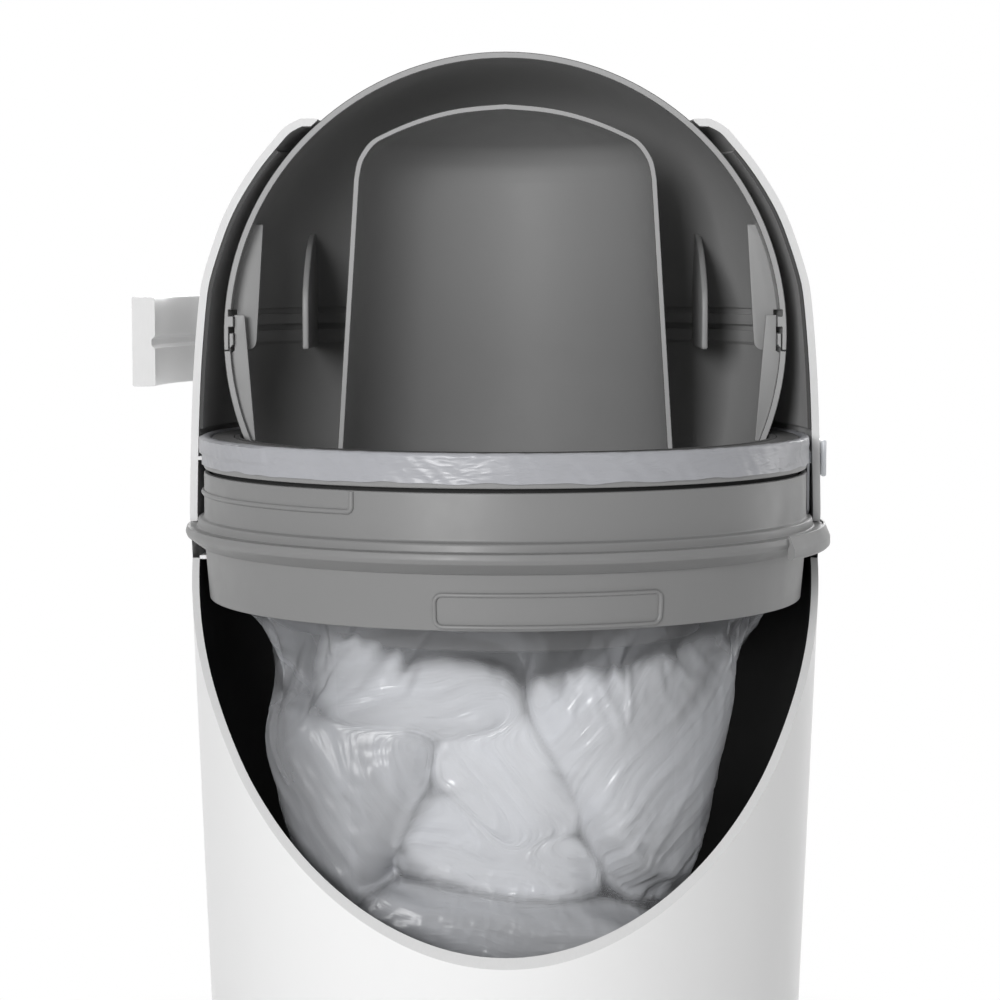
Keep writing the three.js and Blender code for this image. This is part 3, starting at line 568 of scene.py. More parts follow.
# Finishes, each named for what the piece is made of. A moulded plastic has two tones, its roughness
# and how far that varies, and the width and depth of its grain in millimetres. The grain that a
# mould leaves is finer than a picture of the whole bin can show, so it is drawn about a millimetre
# wide. Polished ABS shows clean and glossy, polypropylene satin with a soft gleam, acetal a little
# harder, rubber almost flat.
gloss_white = moulded("glossy_white_abs", "#f4f4f4", "#f1f1f1", 0.3, 0.015, 1.1, 0.002, coat=0.15)
# The liner's grey, which is also painted shade on the white shell's inner side
liner_grey_and_shell_shade = moulded("dark_grey_polypropylene_and_painted_shell_shade", "#bababa", "#b3b3b3", 0.55, 0.06, 0.9, 0.05, gleam=0.3)
drum_dark = moulded("drum_grey_polypropylene", "#9b9b9b", "#949494", 0.45, 0.06, 0.9, 0.05, gleam=0.4)
cup_dark = moulded("cup_grey_polypropylene", "#8b8b8b", "#848484", 0.45, 0.06, 0.9, 0.05, gleam=0.4)
# The pail's dark inside. The same grey is also painted shade on the bag ring's neck in the gap over the
# collar
pail_inside_and_gap_shade = moulded("pail_inside_polypropylene_and_painted_gap_shade", "#3e3e3e", "#383838", 0.75, 0.06, 0.9, 0.05, gleam=0.08)
collar_grey = moulded("mid_grey_polypropylene", "#878787", "#818181", 0.42, 0.05, 0.8, 0.04, gleam=0.4)
ring_grey = moulded("light_grey_polypropylene", "#8e8e8e", "#888888", 0.42, 0.05, 0.8, 0.04)
throat_grey = moulded("throat_grey_polypropylene", "#5c5c5c", "#575757", 0.5, 0.05, 0.9, 0.05, gleam=0.3)
bush_grey = moulded("acetal_bush", "#8f8f8f", "#868686", 0.32, 0.04, 0.7, 0.02)
seal_black = moulded("soft_black_rubber", "#2b2b2b", "#242424", 0.75, 0.06, 0.6, 0.08)
lock_white = moulded("lock_white_abs", "#eef1f5", "#e8ecf1", 0.3, 0.04, 1.1, 0.01)

# The paint of the cut faces is flat, with a dark edge where it ends on a moulding's corner
cut_grey = section_cut("grey_section_paint", "#a9a9a9", "#a2a2a2")
cut_edge = section_cut("section_paint_edge", "#343434", "#2e2e2e")
cut_white = section_cut("white_section_paint", "#e6e6e6", "#e0e0e0")

# Steel, and the film with its milk and shade, how much it covers where it hangs free and where it
# is pressed, its roughness in these two places, and the width of its crinkle
steel = zinc_plated_steel()
film = bag_film("polyethylene_film", "#f4f5f8", "#d3d6dd", 0.2, 0.97, 0.3, 0.24, 2.4, along_creases)
cuff_film = bag_film(
    "polyethylene_film_doubled", "#c4c5ca", "#aaabb0", 0.97, 0.97, 0.3, 0.3, 2.2, along_hem)


# Pail: a tapered tube with a flat base, cut open at the front below the collar
pail_draw = 15.7
pail_base_chamfer = 3
base_recess = 1.2
base_recess_radius = 112
base_recess_slope = 2
chamfer_bottom_radius = collar_radius + 1.8
chamfer_top_radius = lip_radius - 0.8
lip_top = shell_rim - SEAT_GAP
lip_height = 4.6
chamfer_height = 4.6
chamfer_top = lip_top - lip_height
chamfer_bottom = chamfer_top - chamfer_height
chamfer_ratio = chamfer_height / (chamfer_top_radius - chamfer_bottom_radius)
window_top = chamfer_bottom - 8.1
window_depth = pail_rim_radius - 6.7
window_drop = 163.8
window_shares = [(0, 0), (0.4, 0.364), (0.59, 0.56), (0.683, 0.656), (0.8585, 0.841), (1, 1), (1.25, 1.305)]
window_steps = 10
rib_length = 24
rib_thickness = 1.8
pail_rib_drops = (1.3, 7.8)
pail_rib_gaps = (1.4, 0)
dark_inside_drop = 9


def chamfer_at(radius):
    """Height of the collar's chamfer, which the pail's rim follows"""
    return chamfer_bottom + (radius - chamfer_bottom_radius) * chamfer_ratio


def pail():
    base_radius = pail_rim_radius - pail_draw
    taper = pail_draw / (rim_outer - pail_base)
    foot = pail_base + pail_floor
    made = lathe("pail", rounded([
        (0, pail_base + base_recess), (base_recess_radius, pail_base + base_recess, 2),
        (base_recess_radius + base_recess_slope, pail_base, 1),
        (base_radius - pail_base_chamfer, pail_base, 2),
        (base_radius + taper * pail_base_chamfer, pail_base + pail_base_chamfer, 2),
        (pail_rim_radius, rim_outer), (pail_rim_radius - pail_wall, rim_outer - pail_wall * chamfer_ratio),
        (base_radius - pail_wall + taper * pail_floor, foot, 4), (0, foot),
    ]))
    for i, (drop, gap) in enumerate(zip(pail_rib_drops, pail_rib_gaps)):
        height = chamfer_bottom - drop
        middle = pail_rim_radius - pail_wall / 2 + taper * (height - rim_outer)
        join(made, side_rib(f"pail_rib_{i}", skirt_top_radius + gap, middle, height))
    slope = [(-u * window_depth, window_top - v * window_drop)
             for u, v in soft_shares(window_shares, window_steps)]
    outline = [(0, OVERRUN), *slope, (-2 * lip_radius, slope[-1][1]), (-2 * lip_radius, OVERRUN)]
    window = prism("window", outline, -2 * lip_radius, 2 * lip_radius, seen_from_side)
    window.data.materials.append(cut_white)
    made.data.materials.clear()
    made.data.materials.append(gloss_white)
    made.data.materials.append(pail_inside_and_gap_shade)
    centres, normals = face_table(made.data)
    on_floor = (normals[:, 2] > FACING) & (centres[:, 2] < foot + WALL_TOLERANCE)
    inside = facing_in(centres, normals) | on_floor
    below_ribs = centres[:, 2] < chamfer_bottom - dark_inside_drop
    made.data.polygons.foreach_set("material_index", (inside & below_ribs).astype(np.int32))
    cut(made, window)
    return dress(made, "pail", "white_shell", ["pail_body"])


def side_rib(name, inner, outer, height):
    """A short rib at the left, between two radii, from the middle plane to the back"""
    low, high = height - rib_thickness / 2, height + rib_thickness / 2
    outline = [(inner, low), (outer, low), (outer, high), (inner, high)]
    end = math.degrees(math.asin(rib_length / outer))
    return lathe(name, rounded(outline, 0.3, 2), FULL_TURN / 2 - end, FULL_TURN / 2, RING_STEPS * 2)


# Collar: bead, lip, chamfer, skirt, raised marks and the keeper for the lock
bead_radius = collar_radius + 2.9
bead_crest = lip_top + 3.7
bead_slope = 0.8
lip_drop = 2.6
lip_draw = 0.7
lip_inner = collar_radius + 4.2
skirt_top_radius = collar_radius - 0.3
skirt_bottom_radius = skirt_top_radius - 2.1
ledge_top = collar_top - 7
ledge_thickness = 2.2
ring_inner = collar_radius - collar_wall - 3.7
keeper_radius = lip_radius + 2.5
keeper_inner = shell_radius + SEAT_GAP
keeper_span = 33
keeper_bottom = lip_top - 9.7
keeper_top = lip_top + 1
keeper_chamfer = 1.3
keeper_shoulder = 4.8
mark_height = 1.3
mark_overlap = 0.5
mark_stop = 0.6
mark_corner_steps = 6
mark_side_steps = 30
bead_sides = 16
step_mark_width = 2.4
step_mark_top = lip_top + 17.2
step_mark_end = -65.5
step_mark_corner = 2.2
step_mark_steps = 60
frame_left, frame_right = -32, 68.8
frame_bottom = skirt_bottom + 0.8
frame_height = 16
frame_width = 2
frame_corner = 4.5
lock_outer = pail_rim_radius - pail_wall - 1.1
lock_inner = lock_outer - 1.1
lock_gap = 0.5
stem_start = 4
stem_width = 4
hook_reach = 6
lock_travel = 8
hook_top = keeper_bottom - SEAT_GAP
hook_bottom = hook_top - 1.8


def collar_outline(edge):
    wall_inner = collar_radius - collar_wall
    under_wall = skirt_top_radius - collar_wall
    return rounded([
        (skirt_bottom_radius - collar_wall, skirt_bottom), (skirt_bottom_radius, skirt_bottom, 0.7),
        (skirt_top_radius, chamfer_bottom - SEAT_GAP), (chamfer_bottom_radius, chamfer_bottom, 1),
        *edge, (lip_inner, lip_top, 0.8), (bead_radius + SEAT_GAP, lip_top + SEAT_GAP, 0.5),
        (bead_radius, bead_crest, 1.4), (collar_radius, bead_crest + bead_slope, 1.2),
        (collar_radius, collar_top, 0.8), (wall_inner, collar_top), (wall_inner, ledge_top),
        (ring_inner, ledge_top), (ring_inner, ledge_top - ledge_thickness),
        (under_wall, ledge_top - ledge_thickness, 1),
    ])


def bead_nodes():
    """Nodes that lay a round bead along a line of edges"""
    tree = bpy.data.node_groups.new("bead_along_line", "GeometryNodeTree")
    tree.interface.new_socket("Line", in_out="INPUT", socket_type="NodeSocketGeometry")
    tree.interface.new_socket("Width", in_out="INPUT", socket_type="NodeSocketFloat")
    tree.interface.new_socket("Finish", in_out="INPUT", socket_type="NodeSocketMaterial")
    tree.interface.new_socket("Bead", in_out="OUTPUT", socket_type="NodeSocketGeometry")
    given = add(tree, "NodeGroupInput").outputs
    path = add(tree, "GeometryNodeMeshToCurve", {"Mesh": given["Line"]})
    half = add(tree, "ShaderNodeMath", {0: given["Width"], 1: 0.5}, operation="MULTIPLY")
    section = add(tree, "GeometryNodeCurvePrimitiveCircle", {
        "Resolution": bead_sides, "Radius": half.outputs[0]})
    bead = add(tree, "GeometryNodeCurveToMesh", {
        "Curve": path.outputs["Curve"], "Profile Curve": section.outputs["Curve"], "Fill Caps": True})
    whole = add(tree, "GeometryNodeRealizeInstances", {"Geometry": bead.outputs["Mesh"]})
    coloured = add(tree, "GeometryNodeSetMaterial", {
        "Geometry": whole.outputs["Geometry"], "Material": given["Finish"]})
    add(tree, "NodeGroupOutput", {"Bead": coloured.outputs["Geometry"]})
    return tree


def grown(name, mesh, tree, **inputs):
    """A plain mesh object made by a node tree from a mesh, with the tree's named inputs set"""
    made = bpy.data.objects.new(name, mesh)
    bpy.context.scene.collection.objects.link(made)
    nodes = made.modifiers.new(name, "NODES")
    nodes.node_group = tree
    for item in tree.interface.items_tree:
        if item.in_out == "INPUT" and item.name in inputs:
            nodes[item.identifier] = inputs[item.name]
    return bake(made)


def raised_bead(name, path, width, skin, closed=False):
    """A raised mark along a path of (degrees round, height): a round bead half sunk in the skin"""
    places = []
    for turn, level in path:
        radius, angle = skin(level) + mark_height - width / 2, math.radians(turn)
        x, y = radius * math.cos(angle), radius * math.sin(angle)
        places.append((x * MM, y * MM, level * MM + AXIS_HEIGHT))
    edges = [(i, i + 1) for i in range(len(places) - 1)]
    if closed:
        edges.append((len(places) - 1, 0))
    line = bpy.data.meshes.new(name)
    line.from_pydata(places, edges, [])
    return grown(name, line, bead_nodes(), Width=width * MM, Finish=collar_grey)


def turn_at(x):
    """The angle round the bin of a place on the collar's front, in degrees"""
    return -math.degrees(math.acos(x / collar_radius))


def collar_skin(level):
    return collar_radius


def skirt_skin(level):
    share = (level - skirt_bottom) / (chamfer_bottom - skirt_bottom)
    return skirt_bottom_radius + (skirt_top_radius - skirt_bottom_radius) * share


def step_mark():
    """A mark that comes round from the left and turns up to the collar's top edge"""
    level = step_mark_top - step_mark_width / 2
    corner = step_mark_corner
    upright_turn = turn_at(step_mark_end - step_mark_width / 2)
    bend = math.degrees(corner / collar_radius)
    start = -FULL_TURN / 2 - mark_overlap
    stride = upright_turn - start - bend
    path = [(start + i * stride / step_mark_steps, level) for i in range(step_mark_steps + 1)]
    for i in range(1, mark_corner_steps + 1):
        angle = math.radians(QUARTER_TURN * i / mark_corner_steps)
        path.append((upright_turn - bend * (1 - math.sin(angle)), level + corner * (1 - math.cos(angle))))
    path += [(upright_turn, level + corner + i) for i in range(1, int(collar_top - level - corner))]
    path.append((upright_turn, collar_top - mark_stop))
    return raised_bead("step_mark", path, step_mark_width, collar_skin)


def frame_mark():
    """A closed mark round a long rectangle on the skirt, with round corners"""
    half = frame_width / 2
    left, right = turn_at(frame_left + half), turn_at(frame_right - half)
    low, high = frame_bottom + half, frame_bottom + frame_height - half
    corner = frame_corner - half
    bend = math.degrees(corner / collar_radius)
    centres = [(right - bend, high - corner), (left + bend, high - corner),
               (left + bend, low + corner), (right - bend, low + corner)]
    path = []
    for quarter, (turn, level) in enumerate(centres):
        for i in range(mark_corner_steps + 1):
            angle = math.radians(QUARTER_TURN * (quarter + i / mark_corner_steps))
            path.append((turn + bend * math.cos(angle), level + corner * math.sin(angle)))
        if quarter in (0, 2):
            reach = centres[quarter + 1][0] - turn
            path += [(turn + reach * i / mark_side_steps, path[-1][1]) for i in range(1, mark_side_steps)]
    return raised_bead("frame_mark", path, frame_width, skirt_skin, closed=True)


def collar():
    lip_edge = [
        (chamfer_top_radius, chamfer_top, 0.8), (lip_radius, lip_top - lip_drop, 2),
        (lip_radius - lip_draw, lip_top, 0.7),
    ]
    keeper_edge = [
        (keeper_inner, chamfer_at(keeper_inner)), (keeper_inner, keeper_bottom),
        (keeper_radius - keeper_chamfer, keeper_bottom, 1),
        (keeper_radius, keeper_bottom + keeper_chamfer, 1),
        (keeper_radius, lip_top - keeper_shoulder, 1.5), (lip_radius, keeper_top, 1),
        (keeper_inner, keeper_top), (keeper_inner, lip_top, 0.2),
    ]
    made = lathe("collar", collar_outline(lip_edge))
    join(made, lathe("keeper", collar_outline(keeper_edge), -keeper_span, keeper_span, RING_STEPS))
    join(made, step_mark(), frame_mark())
    slot_end = stem_start + stem_width + max(hook_reach, lock_travel) + 2 * lock_gap
    slot_start = stem_start - 2 * lock_gap
    turns = [math.degrees(math.asin(y / lock_outer)) for y in (slot_start, slot_end)]
    cut(made, lathe("hook_slot", [
        (lock_inner - lock_gap, hook_bottom), (lock_outer + lock_gap, hook_bottom),
        (lock_outer + lock_gap, collar_top), (lock_inner - lock_gap, collar_top),
    ], *turns, RING_STEPS * 2))
    return dress(made, "pail", "grey_moulding", ["collar"], collar_grey)


# Bag ring, throat and seal
ring_bottom = collar_top + 1.8
ring_rim_inner = collar_radius - 2.4
ring_neck_wall = 2.2
flange_thickness = 2.2
film_room = 0.6
ring_shelf = flange_top - flange_thickness - film_room - 2 * SEAT_GAP
shelf_depth = 3.2
shelf_radius = width_at(flange_top, bowl_radius) + 2.1
shelf_wall = 2.3
throat_room = 7.7
seal_rise = 0.3
seal_gap = 0.6


def bag_ring():
    made = lathe("bag_ring", rounded([
        (ring_inner, ring_low), (ring_inner + ring_neck_wall, ring_low),
        (ring_inner + ring_neck_wall, ring_bottom),
        (collar_radius, ring_bottom, 0.8), (collar_radius, ring_top, 0.8), (ring_rim_inner, ring_top),
        (ring_rim_inner, ring_shelf), (ring_inner, ring_shelf),
    ]))
    # The ring's neck in the gap over the collar is painted dark: painted shade
    return dress(made, "pail", "grey_moulding", ["bag_ring"], ring_grey, (pail_inside_and_gap_shade, ring_gap_painted_shade))


def ring_gap_painted_shade(centres, normals):
    """The ring's neck in the gap above the collar, given the pail's dark inside grey as painted shade for
    the deep shadow there
    """
    radius = np.linalg.norm(centres[:, :2], axis=1)
    in_gap = (radius < collar_radius - WALL_TOLERANCE) & (centres[:, 2] < ring_bottom + WALL_TOLERANCE / 2)
    return in_gap & ~facing_in(centres, normals)


def throat():
    flange_bottom = flange_top - flange_thickness
    outer_bowl = bowl_radius + throat_wall
    shelf = flange_top - shelf_depth
    under = shelf - throat_wall
    tube = cup_radius_at(cup_mouth) + throat_room
    outer_tube = tube + throat_wall
    shelf_outer = shelf_radius + shelf_wall
    tube_top = -angle_at(width_at(tube, bowl_radius), bowl_radius)
    outer_tube_top = -angle_at(width_at(outer_tube, outer_bowl), outer_bowl)
    made = lathe("throat", rounded([
        (tube, throat_bottom, 0.9), (outer_tube, throat_bottom, 0.9),
        *arc(outer_bowl, outer_tube_top, angle_at(under, outer_bowl)),
        (shelf_outer, under, 1), (shelf_outer, flange_bottom, 0.8), (flange_radius, flange_bottom, 0.6),
        (flange_radius, flange_top, 0.6), (shelf_radius, flange_top, 0.5), (shelf_radius, shelf),
        *arc(bowl_radius, angle_at(shelf, bowl_radius), tube_top),
    ]))
    return dress(made, "pail", "mid_grey_moulding", ["throat_funnel"], throat_grey)


def seal():
    low = flange_top - shelf_depth + SEAT_GAP
    high = flange_top + seal_rise
    outer = shelf_radius - SEAT_GAP
    ball = drum_radius + seal_gap
    made = lathe("seal", rounded([
        (width_at(low, ball), low, 0.3), (outer, low), (outer, high, 0.5),
        (width_at(high, ball), high, 0.5),
    ]))
    return dress(made, "pail", "seal_rubber", ["drum_seal"], seal_black)


# Head: white shell and dark liner, both cut on the middle plane
shell_shares = [
    (1, 0), (1, 0.05), (0.994, 0.226), (0.987, 0.351), (0.978, 0.451), (0.966, 0.549), (0.956, 0.599),
    (0.938, 0.649), (0.917, 0.698), (0.893, 0.748), (0.863, 0.797), (0.826, 0.846), (0.783, 0.895),
    (0.731, 0.945), (0.69, 0.98), (0.643, 1),
]
shell_steps = 5
bush_hole = 9.3
hub_radius = 24
bush_screw_circle = 17.9
bush_screw_radius = 1.5
shell_rib_rise = 5.1
lock_top = liner_bottom - 10
neck_top = lock_top - 2
neck_bottom = neck_top - 4.5
neck_start = 4
neck_width = 6
neck_inset = 0.3


def shell_line():
    rise = shell_top - shell_rim
    return [(u * shell_radius, shell_rim + v * rise) for u, v in soft_shares(shell_shares, shell_steps)]


def along_y(name, radius, low, high, steps=PIN_STEPS, ease=0.0):
    """A pin along the drum's axis, its ends eased"""
    outline = rounded([(0, low), (radius, low), (radius, high), (0, high)], ease)
    return lathe(name, outline, steps=steps, place=along_axle)


def head_shell():
    outer = [*shell_line(), (width_at(shell_top, bowl_radius), shell_top)]
    inner = offset_line(outer, shell_wall)
    under = inner[-1][1]
    inner[-1] = (width_at(under, bowl_radius), under)
    inner[0] = (shell_radius - shell_wall, shell_rim)
    made = lathe("head_shell", rounded([*outer, *inner[::-1]], 0.8), 0, FULL_TURN / 2)
    rib_inner = collar_radius + film_room + SEAT_GAP + film_room
    rib_outer = shell_radius - shell_wall / 2
    join(made, side_rib("shell_rib", rib_inner, rib_outer, collar_top + shell_rib_rise))
    slot = [(lock_inner, neck_bottom - lock_gap), (shell_radius + OVERRUN, neck_bottom - lock_gap),
            (shell_radius + OVERRUN, neck_top + lock_gap), (lock_inner, neck_top + lock_gap)]
    places = (neck_start - lock_gap, neck_start + neck_width + lock_travel + lock_gap)
    turns = [math.degrees(math.asin(y / shell_radius)) for y in places]
    cut(made, lathe("lock_slot", slot, *turns, RING_STEPS))
    cut(made, along_y("bush_hole", bush_hole, 0, 2 * shell_radius))
    # The shell's inner side takes the liner's grey as painted shade
    return dress(made, "head", "white_shell", ["head_shell"], gloss_white,
                 (liner_grey_and_shell_shade, painted_shade_inside_shell), (cut_white, on_section))


def painted_shade_inside_shell(centres, normals):
    """The shell's inner side, given the liner's grey as painted shade, which is seen through the gap under
    the shell
    """
    radius = np.linalg.norm(centres[:, :2], axis=1)
    on_wall = radius < shell_radius - shell_wall + WALL_TOLERANCE
    return facing_in(centres, normals) & on_wall & (centres[:, 1] > 2 * SECTION_TOLERANCE)


def head_liner():
    outer = offset_line(shell_line(), shell_wall + SEAT_GAP)
    radii, heights = [p[0] for p in outer], [p[1] for p in outer]
    ends = [(float(np.interp(z, heights, radii)), z) for z in (liner_bottom, liner_top)]
    line = [ends[0], *[p for p in outer if liner_bottom < p[1] < liner_top], ends[1]]
    wall = rounded([*line, *offset_line(line, liner_wall)[::-1]], 0.3)
    made = lathe("head_liner", wall, 0, FULL_TURN / 2)
    cut(made, along_y("bush_hole", bush_hole, 0, 2 * shell_radius))
    drill_for_screws(made, PIN_STEPS)
    return dress(made, "head", "dark_moulding", ["head_liner"], liner_grey_and_shell_shade, (cut_edge, on_section))


def screw_places():
    offset = bush_screw_circle * math.sqrt(0.5)
    return [(-offset, offset), (-offset, -offset)]


def drill_for_screws(piece, steps):
    """Cuts the holes that the bush screws pass through"""
    for i, (x, z) in enumerate(screw_places()):
        hole = along_y(f"screw_hole_{i}", bush_screw_radius + SEAT_GAP, 0, 2 * shell_radius, steps)
        hole.data.transform(Matrix.Translation((x * MM, 0, z * MM)))
        cut(piece, hole)


# Drum: dome with fins and pads, bowl with snap arms, and the cup
section_edge = 0.28
seam_height = -7
tongue_height = 1.4
tongue_foot = -4
bead_bottom = 4.3
bead_top = 9.5
notch_top = 12.5
cup_shoulder = cup_crown - cup_crown_rise
cup_crown_shares = [
    (1, 0), (0.985, 0.18), (0.962, 0.31), (0.892, 0.51), (0.8, 0.61), (0.676, 0.726), (0.478, 0.866),
    (0.26, 0.958), (0, 1),
]
crown_steps = 8
crown_passes = 14
axle_hole = 5.9
fin_distance = cup_shoulder_radius + 23.2
fin_thickness = 3
fin_front = 21
fin_bottom = -7
fin_top = 53
fin_curve_shares = [(0, 0), (0, 0.38), (0.09, 0.55), (0.28, 0.72), (0.55, 0.87), (1, 1)]
fin_steps = 8
fin_edge = 0.9
pad_front = 10
pad_thickness = 3
pad_foot_depth = 14.5
pad_top_depth = 18.3
pad_edge = 0.5
arm_front = 3
arm_thickness = 3
arm_top = 10
arm_bottom = -50
arm_foot_depth = 14.5
arm_top_depth = 9.7
cup_flange_thickness = 2
cup_flange_angle = 5


def cup_radius_at(height):
    return cup_shoulder_radius + (cup_shoulder - height) * cup_draft


def cup_meets(ball, beside=0.0):
    """Height at which the cup's outer wall, or a line beside it, meets a ball"""
    start = cup_radius_at(0) + beside
    square = 1 + cup_draft ** 2
    half = start * cup_draft
    return (half - math.sqrt(half * half - square * (start * start - ball * ball))) / square


def drum_dome():
    lap_end = seam_height + SEAT_GAP
    made = lathe("drum_dome", rounded([
        *arc(drum_radius, angle_at(lap_end, drum_radius), QUARTER_TURN),
        *arc(inner_radius, QUARTER_TURN, angle_at(notch_top, inner_radius)),
        (lap_radius, notch_top), (lap_radius, bead_top), (tongue_radius, bead_top, 0.5),
        (tongue_radius, bead_bottom, 0.5), (lap_radius, bead_bottom), (lap_radius, lap_end),
    ], 0.25), 0, FULL_TURN / 2)
    space = dome_space()
    ribs = fin("fin_right")
    join(ribs, guide_pad("pad_right"))
    join(ribs, mirrored(ribs, "ribs_left"))
    join(made, trim(ribs, space))
    cut(made, along_y("axle_hole", axle_hole, 0, drum_radius + OVERRUN))
    dress(made, "drum", "dark_moulding", ["drum_dome"], drum_dark, (cut_grey, on_section))
    return outlined(made, section_edge, 1, cut_edge)


def dome_space():
    """Space that the dome's ribs may fill: up to the middle of its wall, clear of the tongue below"""
    clear = tongue_radius - 2 * SEAT_GAP
    join_height = bead_bottom + SEAT_GAP
    ball = inner_radius + drum_wall / 2
    return lathe("dome_space", [
        (0, fin_bottom), (clear, fin_bottom), (clear, join_height),
        (tongue_radius + OVERLAP, join_height), (tongue_radius + OVERLAP, bead_top - OVERLAP),
        (clear, bead_top - OVERLAP), (clear, notch_top),
        *arc(ball, angle_at(notch_top, ball), QUARTER_TURN),
    ])


def fin(name):
    back = width_at(fin_distance, inner_radius) - fin_front
    rise = fin_top - fin_bottom
    front = [(fin_front + u * back, fin_bottom + v * rise)
             for u, v in soft_shares(fin_curve_shares, fin_steps)]
    outline = rounded([(drum_radius, fin_bottom), (drum_radius, fin_top), *front[::-1]], 4)
    made = prism(name, outline, fin_distance, fin_distance + fin_thickness, seen_from_side)
    return eased(made, fin_edge)


def guide_pad(name):
    outline = rounded([
        (drum_radius - pad_foot_depth, fin_bottom, 5), (drum_radius, fin_bottom), (drum_radius, fin_top),
        (drum_radius - pad_top_depth, fin_top, 0.5),
    ])
    return eased(prism(name, outline, pad_front, pad_front + pad_thickness, seen_from_front), pad_edge)


def eased(piece, width):
    """A piece with its edges rounded by a bevel"""
    bevel = piece.modifiers.new("edge", "BEVEL")
    bevel.width = width * MM
    bevel.segments = BEVEL_STEPS
    bevel.limit_method = "ANGLE"
    bevel.angle_limit = BEVEL_FROM
    return bake(piece)


def snap_arm(name):
    outline = rounded([
        (drum_radius - arm_foot_depth, arm_bottom), (drum_radius, arm_bottom), (drum_radius, arm_top),
        (drum_radius - arm_top_depth, arm_top, 0.8),
    ])
    return eased(prism(name, outline, arm_front, arm_front + arm_thickness, seen_from_front), pad_edge)


def drum_bowl():
    outer_foot = angle_at(cup_meets(drum_radius, SEAT_GAP), drum_radius)
    inner_foot = angle_at(cup_meets(inner_radius, SEAT_GAP), inner_radius)
    tongue_start = tongue_foot - (inner_radius - tongue_radius)
    made = lathe("drum_bowl", rounded([
        *arc(drum_radius, outer_foot, angle_at(seam_height, drum_radius)),
        (lap_radius - SEAT_GAP, seam_height), (lap_radius - SEAT_GAP, tongue_height),
        (tongue_radius, tongue_height), (tongue_radius, tongue_foot),
        *arc(inner_radius, angle_at(tongue_start, inner_radius), inner_foot),
    ], 0.25), 0, FULL_TURN / 2)
    arm = snap_arm("arm_right")
    join(arm, mirrored(arm, "arm_left"))
    clear = tongue_radius - SEAT_GAP
    wall = inner_radius + drum_wall / 2
    space = lathe("bowl_space", [
        *arc(wall, -QUARTER_TURN, angle_at(seam_height - 2 * OVERLAP, wall)), (clear, seam_height),
        (clear, arm_top), (0, arm_top),
    ])
    join(made, trim(arm, space))
    cut(made, along_y("axle_hole", axle_hole, 0, drum_radius + OVERRUN))
    dress(made, "drum", "dark_moulding", ["drum_bowl"], drum_dark, (cut_grey, on_section))
    return outlined(made, section_edge, 1, cut_edge)


def drum_cup():
    flange_outer = inner_radius - 2 * SEAT_GAP
    flange_inner = flange_outer - cup_flange_thickness
    foot = angle_at(cup_meets(flange_outer), flange_outer)
    flange_top_angle = foot + cup_flange_angle
    root = angle_at(cup_meets(flange_inner), flange_inner)
    outer = crown_line(cup_shoulder_radius, cup_crown)
    inner = crown_line(cup_shoulder_radius - cup_wall, cup_crown - cup_wall)
    made = lathe("drum_cup", rounded([
        (cup_radius_at(cup_mouth) - cup_wall, cup_mouth, 0.5),
        (width_at(cup_mouth, drum_radius), cup_mouth, 0.3),
        *arc(flange_outer, foot, flange_top_angle), *arc(flange_inner, flange_top_angle, root),
        *outer, *inner[::-1],
    ], 0.3), 0, FULL_TURN / 2)
    dress(made, "drum", "dark_moulding", ["drum_cup"], cup_dark, (cut_grey, on_section))
    return outlined(made, section_edge, 1, cut_edge)


def crown_line(radius, crown):
    """The cup's outline from its shoulder to its crown, smoothed until no facet shows"""
    rise = crown - cup_shoulder
    shares = np.array(soft_shares(cup_crown_shares, crown_steps))
    for _ in range(crown_passes):
        shares[1:-1] = (shares[:-2] + 2 * shares[1:-1] + shares[2:]) / 4
    line = [(u * radius, cup_shoulder + v * rise) for u, v in shares]
    return [*line[:-1], (0, line[-1][1])]


# Handle, axle and fasteners
band_top = 18.6
band_inner = band_outer - 10.9
groove_height = -3
groove_depth = 1.7
groove_half, groove_floor_half = 3, 1.5
hub_face = 150.6
recess_radius = 10
hex_sides = 6
hex_radius = 5.85
axle_radius = 5.5
axle_head_radius = 11
axle_head_seat = 2.5
axle_collar_end = hub_face - 1
hex_start = hub_face - 1.2
tapped_radius = 2.3
tapped_depth = 15
washer_end = washer_face + 1.4
washer_radius = 12
finger_reach = 14.8
finger_half = 3.5
bush_flange_face = washer_end + 1
bush_flange_end = bush_flange_face + 1.7
bush_flange_radius = 21
bush_radius = 9
bush_run_gap = 0.4
stop_arc_inner = 12.6
stop_arc_half_turn = 78
stop_arc_sunk = 0.2
handle_screw_radius, handle_screw_head = 2, 7.5
handle_screw_length, handle_screw_rise = 12, 3
bush_screw_head = 2.4
bush_screw_length, bush_screw_rise = 4.2, 1.5
cross_width_share, cross_reach_share, cross_depth_share = 0.14, 0.55, 0.5
cap_gap = 0.4
cap_thickness = 2.6
cap_edge_drop, cap_crown_drop = 0.3, 0.1
cap_crown_inset = 2.5


def handle():
    """A quarter ring from the left of the head to its hub at the back"""
    groove_floor = band_inner + groove_depth
    band = lathe("handle", rounded([
        (band_inner, band_bottom), (band_outer, band_bottom), (band_outer, band_top),
        (band_inner, band_top), (band_inner, groove_height + groove_half, 0.5),
        (groove_floor, groove_height + groove_floor_half, 0.8),
        (groove_floor, groove_height - groove_floor_half, 0.8),
        (band_inner, groove_height - groove_half, 0.5),
    ], 1.1), QUARTER_TURN, FULL_TURN / 2, RING_STEPS * 2)
    hub = along_y("hub", hub_radius, hub_face, band_outer, RING_STEPS // 2, 1.2)
    join(band, hub)
    cut(band, along_y("drive", hex_radius, 0, 2 * band_outer, hex_sides))
    cut(band, along_y("recess", recess_radius, axle_end + SEAT_GAP, 2 * band_outer, RING_STEPS // 2))
    return dress(band, "drum", "white_shell", ["handle"], gloss_white, (cut_white, on_section))


